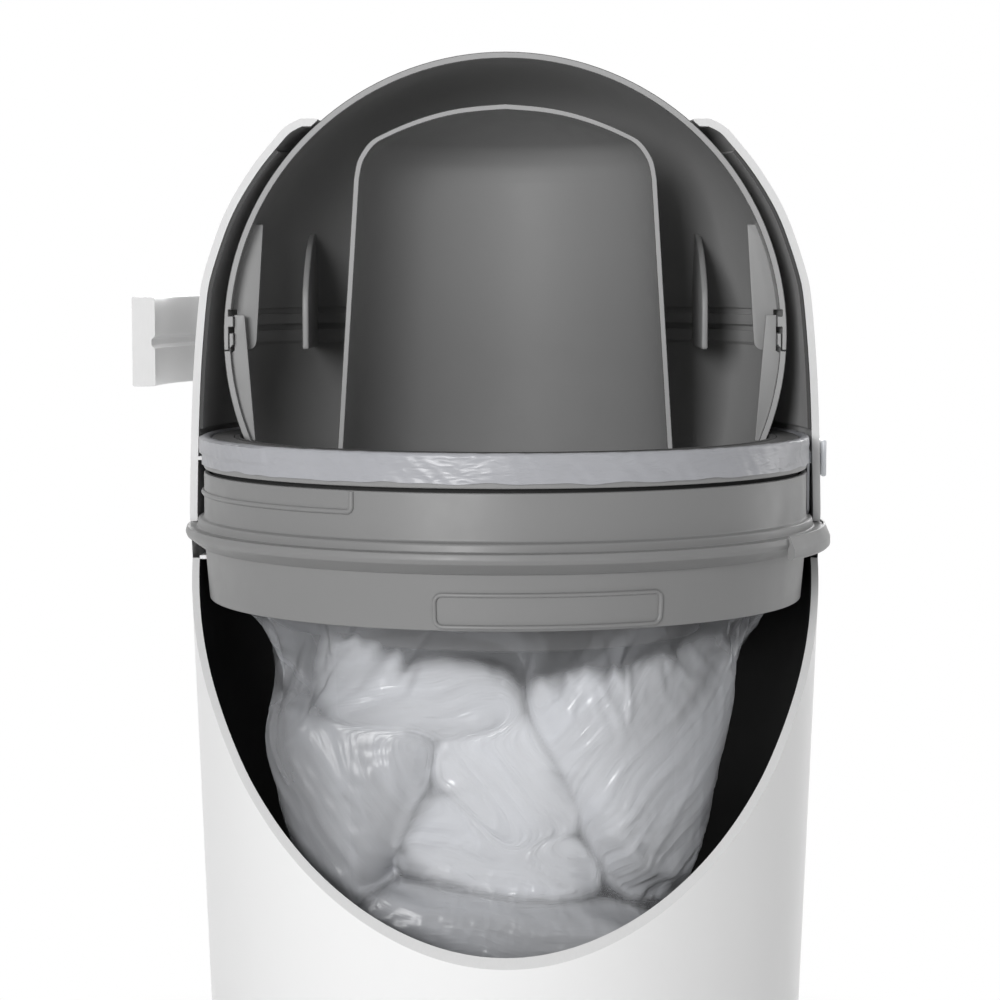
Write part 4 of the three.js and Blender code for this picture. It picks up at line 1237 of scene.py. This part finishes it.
def axle():
    head = axle_head_radius
    face = inner_radius - axle_head_seat
    turned = lathe("axle", rounded([
        (0, axle_start), (head, axle_start, 0.8), (head, face, 0.3), (axle_radius, face),
        (axle_radius, axle_collar_end), (0, axle_collar_end),
    ], 0.2), steps=PIN_STEPS, place=along_axle)
    join(turned, along_y("axle_hex", axle_radius, hex_start, axle_end, hex_sides))
    cut(turned, along_y("tapped", tapped_radius, axle_end - tapped_depth, 2 * axle_end, PIN_STEPS // 2))
    return dress(turned, "drum", "steel", ["drum_axle"], steel)


def washer():
    made = lathe("stop_washer", rounded([
        (axle_hole, washer_face), (washer_radius, washer_face), (washer_radius, washer_end),
        (axle_hole, washer_end),
    ], 0.2), steps=PIN_STEPS, place=along_axle)
    join(made, block("finger", -finger_half, finger_half, washer_face, washer_end,
                     -finger_reach, -washer_radius + OVERLAP))
    return dress(made, "drum", "steel", ["stop_washer"], steel)


def pivot_bush():
    """The bearing of the axle, with the arc that the washer's finger meets at each end of its turn"""
    start = washer_end + bush_run_gap
    flange, flange_end = bush_flange_radius, bush_flange_end
    made = lathe("pivot_bush", rounded([
        (axle_hole, start), (bush_radius, start), (bush_radius, bush_flange_face),
        (flange, bush_flange_face, 0.5), (flange, flange_end, 0.5), (bush_radius, flange_end),
        (bush_radius, axle_collar_end, 0.5), (axle_hole, axle_collar_end),
    ], 0.3), steps=PIN_STEPS * 2, place=along_axle)
    arc_start, arc_end = washer_face + stop_arc_sunk, flange_end - stop_arc_sunk
    arc_outer = flange - stop_arc_sunk
    join(made, lathe("stop_arc", [
        (stop_arc_inner, arc_start), (arc_outer, arc_start), (arc_outer, arc_end),
        (stop_arc_inner, arc_end),
    ], -stop_arc_half_turn, stop_arc_half_turn, PIN_STEPS * 2, along_axle))
    drill_for_screws(made, PIN_STEPS // 2)
    return dress(made, "head", "mid_grey_moulding", ["pivot_bush"], bush_grey)


def screw(name, radius, head_radius, tip, face, end):
    """A cross recessed screw along the drum's axis, from its tip to its head's outer face"""
    step = 1 if end > face else -1
    made = lathe(name, rounded([
        (0, tip), (radius, tip, 0.3), (radius, face), (head_radius, face, 0.2), (head_radius, end, 0.6),
        (0, end)][::step], 0.2), steps=PIN_STEPS, place=along_axle)
    half, reach = head_radius * cross_width_share, head_radius * cross_reach_share
    low, high = sorted((end - step * abs(end - face) * cross_depth_share, end + step))
    cross = block("cross_one", -reach, reach, low, high, -half, half)
    join(cross, block("cross_two", -half, half, low, high, -reach, reach))
    return cut(made, cross)


def fasteners():
    face = axle_end + 2 * SEAT_GAP
    made = screw("handle_screw", handle_screw_radius, handle_screw_head,
                 face - handle_screw_length, face, face + handle_screw_rise)
    dress(made, "drum", "steel", ["handle_screw"], steel)
    head_face = bush_flange_face - SEAT_GAP
    for i, (x, z) in enumerate(screw_places(), 1):
        made = screw(f"bush_screw_{i}_fine", bush_screw_radius, bush_screw_head,
                     head_face + bush_screw_length, head_face, head_face - bush_screw_rise)
        made.data.transform(Matrix.Translation((x * MM, 0, z * MM)))
        dress(made, "head", "steel", [f"bush_screw_{i}"], steel)


def hub_cap():
    outer = band_outer - cap_gap
    cap_radius = recess_radius - cap_gap
    made = lathe("hub_cap_fine", rounded([
        (0, outer - cap_thickness), (cap_radius, outer - cap_thickness),
        (cap_radius, outer - cap_edge_drop, 0.6),
        (recess_radius - cap_crown_inset, outer - cap_crown_drop, 0.5), (0, outer),
    ], 0.2), steps=RING_STEPS // 2, place=along_axle)
    return dress(made, "drum", "white_shell", ["hub_cap"], gloss_white)


# Lock slider: plate, stem, hook and neck inside the shell, pad outside it
plate_bottom = lip_top + 5.2
plate_start, plate_width = 2, 10
pad_rise = 4.5
pad_height = 17.5
pad_start, pad_width = 0.5, 13.5
pad_depth = 2.5
pad_easing = 1


def lock_band(name, inner, outer, low, high, start, length, ease=0.3):
    turns = [math.degrees(math.asin(y / outer)) for y in (start, start + length)]
    outline = rounded([(inner, low), (outer, low), (outer, high), (inner, high)], ease)
    return lathe(name, outline, *turns, RING_STEPS * 3)


def lock_slider():
    pad_inner = shell_radius + SEAT_GAP
    made = lock_band("lock_slider", lock_inner, lock_outer, plate_bottom, lock_top,
                     plate_start, plate_width)
    join(made, lock_band("stem", lock_inner, lock_outer, hook_bottom, plate_bottom + OVERLAP,
                         stem_start, stem_width))
    join(made, lock_band("hook", lock_inner, lock_outer, hook_bottom, hook_top, stem_start + OVERLAP,
                         stem_width - OVERLAP + hook_reach))
    join(made, lock_band("neck", lock_inner + neck_inset, pad_inner + OVERLAP, neck_bottom, neck_top,
                         neck_start, neck_width))
    high = lock_top + pad_rise
    pad = lock_band("pad", pad_inner, pad_inner + pad_depth, high - pad_height, high,
                    pad_start, pad_width, 0)
    join(made, eased(pad, pad_easing))
    return dress(made, "lock", "white_shell", ["lock_slider"], lock_white)


# Liner bag: the cuff over the ring, with a gathered band at the left and a raised fold at the right.
# Its waves and pleats have a depth in millimetres and a width in degrees round the ring, and read
# noise from layers of their own. The fold's rise and dip start and end at shares of the height.
cuff_hem = ring_bottom + 2.5
cuff_wall = 0.3
cuff_columns = 720
cuff_rows = 14
cuff_away = SEAT_GAP + 0.3
cuff_crest = film_top - 0.45
crest_round, crest_ease = 1, 0.3
cuff_sharp = math.radians(60)
hem_wave, hem_wave_turn, hem_drop = 0.9, 6, 0.3
crest_wave, crest_wave_turn, crest_limit = 0.25, 2.5, 0.35
pleat_depth, pleat_turn, pleat_sharpness = 0.35, 3.2, 3
pleat_drift, pleat_change = 1.4, 0.8
swell_depth, swell_turn, swell_change = 0.35, 14, 1.5
hem_layer, crest_layer, pleat_layer, swell_layer = 0, 5, 3, 9
gather_to = -137
gather_end_width = 1.6
gather_rise = 1.1
gather_low, gather_full = 0.36, 0.42
fold_from, fold_to = -27, -6
fold_ends = 8
fold_lift = 0.35
fold_rise, fold_rise_start, fold_rise_end = 0.9, 0.55, 0.75
fold_dip, fold_dip_start, fold_dip_end = 0.3, 0.2, 0.45
cuff_deepest = -0.2


def film_cuff():
    """The cuff is a sheet laid over the ring, pleated and then given its wall"""
    outer, inner = collar_radius + cuff_away, ring_rim_inner - cuff_away
    crest = cuff_crest
    vertices, faces = [], []
    heights = np.linspace(cuff_hem, crest - crest_round, cuff_rows)
    path = [*[(outer, z) for z in heights], (outer - crest_ease, crest - crest_ease),
            (outer - crest_round, crest), (inner + crest_round, crest),
            (inner + crest_ease, crest - crest_ease), (inner, crest - crest_round),
            (inner, ring_shelf + cuff_away)]
    for i in range(cuff_columns):
        turn = i * FULL_TURN / cuff_columns - FULL_TURN / 2
        out = math.cos(math.radians(turn)), math.sin(math.radians(turn))
        for j, (radius, height) in enumerate(path):
            rise = lift = hem = top = 0
            if j < cuff_rows:
                rise, lift = cuff_folds(turn, (height - cuff_hem) / (crest - cuff_hem))
                wave = hem_wave * noise.noise((turn / hem_wave_turn, hem_layer, 0)) - hem_drop
                hem = wave * (1 - j / cuff_rows)
            if j >= cuff_rows - 2:
                top = crest_wave * noise.noise((turn / crest_wave_turn, crest_layer, 0))
            height += hem + min(top + lift, crest_limit)
            vertices.append(((radius + rise) * out[0], (radius + rise) * out[1], height))
    size = len(path)
    for i in range(cuff_columns):
        here, there = i * size, (i + 1) % cuff_columns * size
        faces += [(here + j, there + j, there + j + 1, here + j + 1) for j in range(size - 1)]
    made = mesh_object("cuff", vertices, faces)
    wall = made.modifiers.new("wall", "SOLIDIFY")
    wall.thickness = cuff_wall * MM
    wall.offset = 0
    bake(made)
    return dress(made, "pail", "bag_film", ["liner_bag"], cuff_film, sharp=cuff_sharp)


def cuff_folds(turn, share):
    """How far the cuff stands out at a share of its height, and how far its crest lifts: fine pleats,
    the gathered band that ends in a rounded step, and the raised fold"""
    ripple = noise.noise((turn / pleat_turn + share * pleat_drift, share * pleat_change, pleat_layer))
    pleats = pleat_depth * (1 - abs(ripple)) ** pleat_sharpness
    swell = swell_depth * noise.noise((turn / swell_turn, share * swell_change, swell_layer))
    rise = pleats + swell * math.sin(math.pi * min(max(share, 0), 1))
    in_band = smooth(gather_to - turn, 0, gather_end_width) * smooth(share, gather_low, gather_full)
    rise += gather_rise * in_band
    fold = smooth(turn, fold_from, fold_from + fold_ends) * smooth(fold_to - turn, 0, fold_ends)
    rise += fold * (fold_rise * smooth(share, fold_rise_start, fold_rise_end)
                    - fold_dip * smooth(share, fold_dip_start, fold_dip_end))
    return max(rise, cuff_deepest), fold_lift * fold


def smooth(value, low, high):
    """A soft step from 0 to 1"""
    share = min(max((value - low) / (high - low), 0), 1)
    return share * share * (3 - 2 * share)


# Body of the bag: a lofted sheet that the simulation draws in over hidden rounded forms, as a full
# bag is drawn over what fills it. A form has its centre, its half sizes, its lean seen from the
# front, its turn about the vertical, how much it narrows to its foot, the slant of its creases, and
# how milky the film looks over it, which is painted light and shade on the pads. Sizes are
# millimetres and angles degrees.
bag_shares = [
    (1, 0), (0.97, 0.05), (0.86, 0.14), (0.83, 0.26), (0.84, 0.62), (0.8, 0.83), (0.68, 0.94), (0, 1),
]
bag_steps = 24
bag_neck_gap = 0.3
bag_floor_gap = 0.6
bag_front_turn = 200
bag_front_columns = 208
bag_back_columns = 44
bag_neck_row = 9
bag_row = 3
bag_low_row = 11
bag_fine_end = -300
bag_floor_stride = 4
bag_floor_room = 2
bag_forms = [
    ((-67, -60, -211), (30, 36, 46), 3, -12, 0.6, -62, 0.7),
    ((-33, -74, -153), (46, 24, 23), 5, 0, 0, 8, 0.85),
    ((56, -62, -191), (37, 36, 57), -6, 16, 0.55, 50, 0.85),
    ((3, -70, -194), (31, 25, 38), -38, 0, 0, -45, 1),
    ((-8, -68, -228), (50, 24, 23), 25, 0, 0, -18, 1),
    ((2, -76, -276), (70, 26, 23), 6, 0, 0, -10, 0.6),
    ((0, 24, -215), (66, 60, 74), 0, 0, 0, 30, 0.6),
    ((0, 0, -400), (86, 86, 118), 0, 0, 0, 0, 0.4),
]
form_squareness = 4
form_fineness = 5

# How the slack film lies before it is drawn in. It is measured from bag_reach times its radius,
# slopes in from its neck, keeps a least share of its radius, spans hollows of a few cells and stands
# off the forms. The simulation has so many frames, and holds the film above and below two heights.
bag_reach = 1.2
bag_fall = 0.5
bag_fall_right = 0.3
bag_least_share = 0.55
bag_span = 2
bag_softening = 2
film_stand_off = 1.4
film_frames = 24
film_held_above = -119
film_held_below = -478

# Where the film is milky: near a form, and near the middle, as it is made clearer towards the sides
# as painted shade there. Its creases have a width, a depth and a sharpness in each layer, and fade
# where no single form holds the film.
touch_near, touch_far = 3, 9
touch_falloff = -4.0
unshaded_within, side_shaded_beyond = 38, 100
milk_left_in_side_shade = 0.25
crease_layers = [(17, 0.8, 7), (6.5, 0.5, 2.2), (3, 0.3, 1.5)]
crease_stretch = 7
crease_narrowing = 2.2
crease_from_share, crease_full_share = 0.4, 0.8
crease_back = 20
crease_map_radius = pail_rim_radius * 0.8
crease_waver, crease_waver_width = 4, 30


def bag_form(index, centre, half, lean, turn, narrowing):
    """One of the hidden forms: a box with very round edges, drawn in towards its foot"""
    work = bmesh.new()
    bmesh.ops.create_icosphere(work, subdivisions=form_fineness, radius=1)
    placed = (Matrix.Translation(Vector(centre)) @ Matrix.Rotation(math.radians(turn), 4, "Z")
              @ Matrix.Rotation(math.radians(lean), 4, "Y") @ Matrix.Diagonal((*half, 1)))
    for point in work.verts:
        reach = sum(abs(c) ** form_squareness for c in point.co) ** (1 / form_squareness)
        across, deep, high = point.co / reach
        x, y, z = placed @ Vector((across * (1 + narrowing * high), deep, high))
        point.co = (x * MM, y * MM, z * MM + AXIS_HEIGHT)
    mesh = bpy.data.meshes.new(f"form_{index}")
    work.to_mesh(mesh)
    work.free()
    made = bpy.data.objects.new(f"form_{index}", mesh)
    bpy.context.scene.collection.objects.link(made)
    return made


def bag_line():
    """Radius and height of the slack bag, from its neck to the middle of its floor"""
    neck = ring_inner - SEAT_GAP - bag_neck_gap
    drop = film_floor + bag_floor_gap - skirt_bottom
    shares = soft_shares(bag_shares, bag_steps)
    body = np.array([(u * neck, skirt_bottom + v * drop) for u, v in shares])
    heights = [*np.arange(ring_shelf - 1, skirt_bottom, -bag_neck_row),
               *np.arange(skirt_bottom, bag_fine_end, -bag_row),
               *np.arange(bag_fine_end, film_held_below, -bag_low_row)]
    radii = np.interp([-h for h in heights], -body[:, 1], body[:, 0])
    last = body[body[:, 1] < film_held_below - bag_floor_room]
    return [*zip(radii, heights), *[tuple(p) for p in last[::bag_floor_stride]], (0, body[-1][1])]


def bag_turns():
    """Angles of the bag's columns, close together at the front, which the window shows"""
    start = -(FULL_TURN / 4 + bag_front_turn / 2)
    front = [start + bag_front_turn * i / bag_front_columns for i in range(bag_front_columns)]
    rest = FULL_TURN - bag_front_turn
    back = [start + bag_front_turn + rest * i / bag_back_columns for i in range(bag_back_columns)]
    return [math.radians(turn) for turn in front + back]


def film_bag():
    """The bag: its sheet round the hidden forms, drawn in as cloth, made finer and then creased"""
    line, turns = bag_line(), bag_turns()
    forms = [bag_form(i, *form[:5]) for i, form in enumerate(bag_forms)]
    trees = [BVHTree.FromObject(form, bpy.context.evaluated_depsgraph_get()) for form in forms]
    radii = wrapped_radii(line[:-1], turns, trees)
    columns = len(turns)
    vertices, faces = [], []
    for row, (_, height) in enumerate(line[:-1]):
        vertices += [(r * math.cos(t), r * math.sin(t), height) for r, t in zip(radii[row], turns)]
    for row in range(len(line) - 2):
        for i in range(columns):
            k = (i + 1) % columns
            here, below = row * columns, (row + 1) * columns
            faces.append((below + i, below + k, here + k, here + i))
    vertices.append((0, 0, line[-1][1]))
    last = (len(line) - 2) * columns
    faces += [(last + (i + 1) % columns, last + i, len(vertices) - 1) for i in range(columns)]
    made = mesh_object("bag", vertices, faces)
    turn_outwards(made)
    draw_in(made, forms)
    finer = made.modifiers.new("finer", "SUBSURF")
    finer.levels = finer.render_levels = 1
    bake(made)
    crease(made, trees)
    for form in forms:
        bpy.data.objects.remove(form)
    return dress(made, "pail", "bag_film", ["liner_bag"], film, sharp=math.pi)


def spread(field, reach, pick):
    """The largest or smallest value within reach cells, all round and up and down"""
    result = field.copy()
    for step in range(1, reach + 1):
        for side in (step, -step):
            result = pick(result, np.roll(field, side, axis=1))
    field = result.copy()
    padded = np.pad(field, ((reach, reach), (0, 0)), mode="edge")
    for step in range(2 * reach + 1):
        result = pick(result, padded[step:step + len(field)])
    return result


def softened(field, passes):
    """A field with each cell set to a weighted mean of its neighbours, all round and up and down"""
    for _ in range(passes):
        padded = np.pad(field, ((1, 1), (0, 0)), mode="edge")
        upright_mean = (padded[:-2] + 2 * field + padded[2:]) / 4
        left, right = np.roll(upright_mean, 1, axis=1), np.roll(upright_mean, -1, axis=1)
        field = (left + 2 * upright_mean + right) / 4
    return field


def wrapped_radii(line, turns, trees):
    """How far out the film lies: over the hidden forms, across the narrow hollows between them, and
    sloping in from the neck, more slowly at the right"""
    field = np.zeros((len(line), len(turns)))
    for row, (slack, height) in enumerate(line):
        for i, turn in enumerate(turns):
            out = Vector((math.cos(turn), math.sin(turn), 0))
            start = out * slack * MM * bag_reach + Vector((0, 0, height * MM + AXIS_HEIGHT))
            hits = [tree.ray_cast(start, -out)[3] for tree in trees]
            near = min((h for h in hits if h is not None), default=slack * MM)
            fall = (film_held_above - height) * (bag_fall - bag_fall_right * math.cos(turn))
            neck = line[0][0] - max(fall, 0)
            field[row, i] = max(slack * bag_reach - near / MM, neck, bag_least_share * slack)
    closed = spread(spread(field, bag_span, np.maximum), bag_span, np.minimum)
    closed = softened(closed, bag_softening) + film_stand_off
    slack = np.array([radius for radius, _ in line])[:, None]
    held = np.array([height > film_held_above or height < film_held_below for _, height in line])[:, None]
    return np.where(held, slack, np.minimum(closed, slack))


def turn_outwards(piece):
    """An open sheet's faces all point away from the bin's axis"""
    centres, normals = face_table(piece.data)
    if (centres[:, :2] * normals[:, :2]).sum() < 0:
        piece.data.flip_normals()


def draw_in(bag, forms):
    """Runs the film as cloth, with slack in it, under suction over the hidden forms"""
    for form in forms:
        form.modifiers.new("solid", "COLLISION")
        form.collision.thickness_outer = 0.6 * MM
        form.collision.cloth_friction = 12
    heights = [(v.co.z - AXIS_HEIGHT) / MM for v in bag.data.vertices]
    held = bag.vertex_groups.new(name="held")
    fixed = [i for i, z in enumerate(heights) if z > film_held_above or z < film_held_below]
    held.add(fixed, 1, "REPLACE")
    cloth = bag.modifiers.new("film", "CLOTH")
    settings = cloth.settings
    settings.quality = 5
    settings.mass = 0.02
    settings.air_damping = 2
    settings.tension_stiffness = 28
    settings.compression_stiffness = 12
    settings.shear_stiffness = 10
    settings.bending_stiffness = 0.02
    settings.tension_damping = 8
    settings.compression_damping = 8
    settings.shrink_min = -0.04
    settings.use_pressure = True
    settings.uniform_pressure_force = -100
    settings.vertex_group_mass = "held"
    settings.effector_weights.gravity = 0
    cloth.collision_settings.use_self_collision = False
    cloth.collision_settings.distance_min = 0.8 * MM
    cloth.collision_settings.collision_quality = 2
    cloth.point_cache.frame_end = film_frames
    for step in range(1, film_frames + 1):
        bpy.context.scene.frame_set(step)
    bake(bag)
    bpy.context.scene.frame_set(1)


def crease(bag, trees):
    """Gives the film its creases, along each form's own slant, a map laid along them, and a mark of
    where it is pressed on a form, scaled by each form's milkiness and lowered towards the sides, which
    paints light and shade on the film"""
    mesh = bag.data
    points = np.empty(len(mesh.vertices) * 3)
    normals = np.empty(len(mesh.vertices) * 3)
    mesh.vertices.foreach_get("co", points)
    mesh.vertices.foreach_get("normal", normals)
    points, normals = points.reshape(-1, 3), normals.reshape(-1, 3)
    pressed, laid = np.zeros(len(points)), np.zeros((len(points), 2))
    slants = [math.radians(form[5]) for form in bag_forms]
    crease_frames = np.array([
        [(-math.sin(a), math.cos(a)), (math.cos(a), math.sin(a))] for a in slants])
    crease_centres = np.array([(form[0][0], form[0][2]) for form in bag_forms])
    # How milky each form makes the film: painted light and shade on the pads
    milk_as_painted_light_and_shade = np.array([form[6] for form in bag_forms])
    for i, (point, normal) in enumerate(zip(points, normals)):
        x, y, height = point[0] / MM, point[1] / MM, (point[2] - AXIS_HEIGHT) / MM
        if height > film_held_above or height < bag_fine_end or y > crease_back:
            continue
        gaps = np.array([tree.find_nearest(Vector(point))[3] / MM for tree in trees])
        shares = (gaps + touch_near / 2) ** touch_falloff
        shares /= shares.sum()
        # The film grows clearer towards the sides: painted shade there
        side_shade = smooth(abs(x), unshaded_within, side_shaded_beyond)
        pressed[i] = (1 - smooth(gaps.min(), touch_near, touch_far)) * (shares @ milk_as_painted_light_and_shade)
        pressed[i] *= 1 - (1 - milk_left_in_side_shade) * side_shade
        place = np.array([math.atan2(x, -y) * crease_map_radius, height])
        across, along = shares @ np.einsum("fij,fj->fi", crease_frames, place - crease_centres)
        waver = noise.noise((place[0] / crease_waver_width, height / crease_waver_width, 0))
        across += crease_waver * waver
        laid[i] = across * MM, along * MM
        rise = 0
        for width, depth, sharpness in crease_layers:
            wave = abs(noise.noise((across / width, along / (width * crease_stretch), width)))
            rise += depth * (1 - min(crease_narrowing * wave, 1)) ** sharpness
        held_by_one = smooth(shares.max(), crease_from_share, crease_full_share)
        points[i] += normal * rise * held_by_one * MM
    mesh.vertices.foreach_set("co", points.ravel())
    mesh.attributes.new("pressed", "FLOAT", "POINT").data.foreach_set("value", pressed)
    corners = np.empty(len(mesh.loops), np.int32)
    mesh.loops.foreach_get("vertex_index", corners)
    mesh.uv_layers.new(name="creases").data.foreach_set("uv", laid[corners].ravel())
    mesh.update()


# The stage, in metres: a pale floor, white behind, soft lamps and the photograph's camera
sensor_width = 36
focal_length = 98.36
camera_place = (-0.0025, -1.3021, AXIS_HEIGHT + 0.0327)
camera_tilt = 4.871
floor_size = 6
white_from, white_to = 0.42, 0.75
room_light = 0.22
lamp_target = (0, 0, 0.35)
WHITE = (1, 1, 1, 1)


def camera():
    data = bpy.data.cameras.new("camera")
    data.sensor_width = sensor_width
    data.lens = focal_length
    made = bpy.data.objects.new("camera", data)
    made.location = camera_place
    made.rotation_euler = (math.radians(QUARTER_TURN - camera_tilt), 0, 0)
    bpy.context.scene.collection.objects.link(made)
    bpy.context.scene.camera = made


def seen_directly(tree):
    """One for camera, glossy and transmission rays, which meet the plain background"""
    path = add(tree, "ShaderNodeLightPath").outputs
    either = add(tree, "ShaderNodeMath", {
        0: path["Is Camera Ray"], 1: path["Is Glossy Ray"]}, operation="MAXIMUM")
    return add(tree, "ShaderNodeMath", {
        0: either.outputs[0], 1: path["Is Transmission Ray"]}, operation="MAXIMUM").outputs[0]


def floor():
    """The floor is lit paint near the bin and fades into the white behind it"""
    made = bpy.data.objects.new("floor", bpy.data.meshes.new("floor"))
    half = floor_size / 2
    corners = [(-half, -half, 0), (half, -half, 0), (half, half, 0), (-half, half, 0)]
    made.data.from_pydata(corners, [], [(0, 1, 2, 3)])
    bpy.context.scene.collection.objects.link(made)
    paint, tree = new_material("pale_floor_paint")
    place = add(tree, "ShaderNodeTexCoord").outputs["Object"]
    distance = add(tree, "ShaderNodeVectorMath", {0: place}, operation="LENGTH").outputs["Value"]
    far = add(tree, "ShaderNodeMapRange", {
        "Value": distance, "From Min": white_from, "From Max": white_to}, interpolation_type="SMOOTHSTEP")
    share = add(tree, "ShaderNodeMath", {
        0: far.outputs["Result"], 1: seen_directly(tree)}, operation="MULTIPLY")
    near = add(tree, "ShaderNodeBsdfPrincipled", {"Base Color": linear("#f2f2f2"), "Roughness": 0.7})
    white = add(tree, "ShaderNodeEmission", {"Color": WHITE, "Strength": 1.0})
    mix = add(tree, "ShaderNodeMixShader", {0: share.outputs[0], 1: near.outputs[0], 2: white.outputs[0]})
    add(tree, "ShaderNodeOutputMaterial", {"Surface": mix.outputs[0]})
    made.data.materials.append(paint)


def world():
    made = bpy.data.worlds.new("studio")
    made.use_nodes = True
    tree = made.node_tree
    tree.nodes.clear()
    lighting = add(tree, "ShaderNodeBackground", {"Color": WHITE, "Strength": room_light})
    white = add(tree, "ShaderNodeBackground", {"Color": WHITE, "Strength": 1.0})
    mix = add(tree, "ShaderNodeMixShader", {
        0: seen_directly(tree), 1: lighting.outputs[0], 2: white.outputs[0]})
    add(tree, "ShaderNodeOutputWorld", {"Surface": mix.outputs[0]})
    bpy.context.scene.world = made


def lamp(name, place, size, power):
    """A soft rectangular lamp of so many watts that looks at the bin"""
    data = bpy.data.lights.new(name, "AREA")
    data.shape = "RECTANGLE"
    data.size, data.size_y = size
    data.energy = power
    made = bpy.data.objects.new(name, data)
    made.location = place
    made.rotation_euler = (Vector(lamp_target) - Vector(place)).to_track_quat("-Z", "Y").to_euler()
    bpy.context.scene.collection.objects.link(made)


def lamps():
    lamp("key_softbox", (-0.9, -2.55, 1.05), (0.9, 0.9), 45)
    lamp("right_rim", (1.9, 0.9, 0.8), (0.6, 1.4), 7)
    lamp("top_softbox", (0, 0.4, 2.4), (1.6, 1.6), 4)
    lamp("back_fill", (0.3, 2.6, 1.2), (1.8, 1.4), 26)


camera()
world()
floor()
lamps()
pail()
collar()
bag_ring()
throat()
seal()
head_shell()
head_liner()
drum_dome()
drum_bowl()
drum_cup()
handle()
axle()
washer()
pivot_bush()
fasteners()
hub_cap()
lock_slider()
film_cuff()
film_bag()

bpy.context.scene.view_settings.view_transform = "Standard"
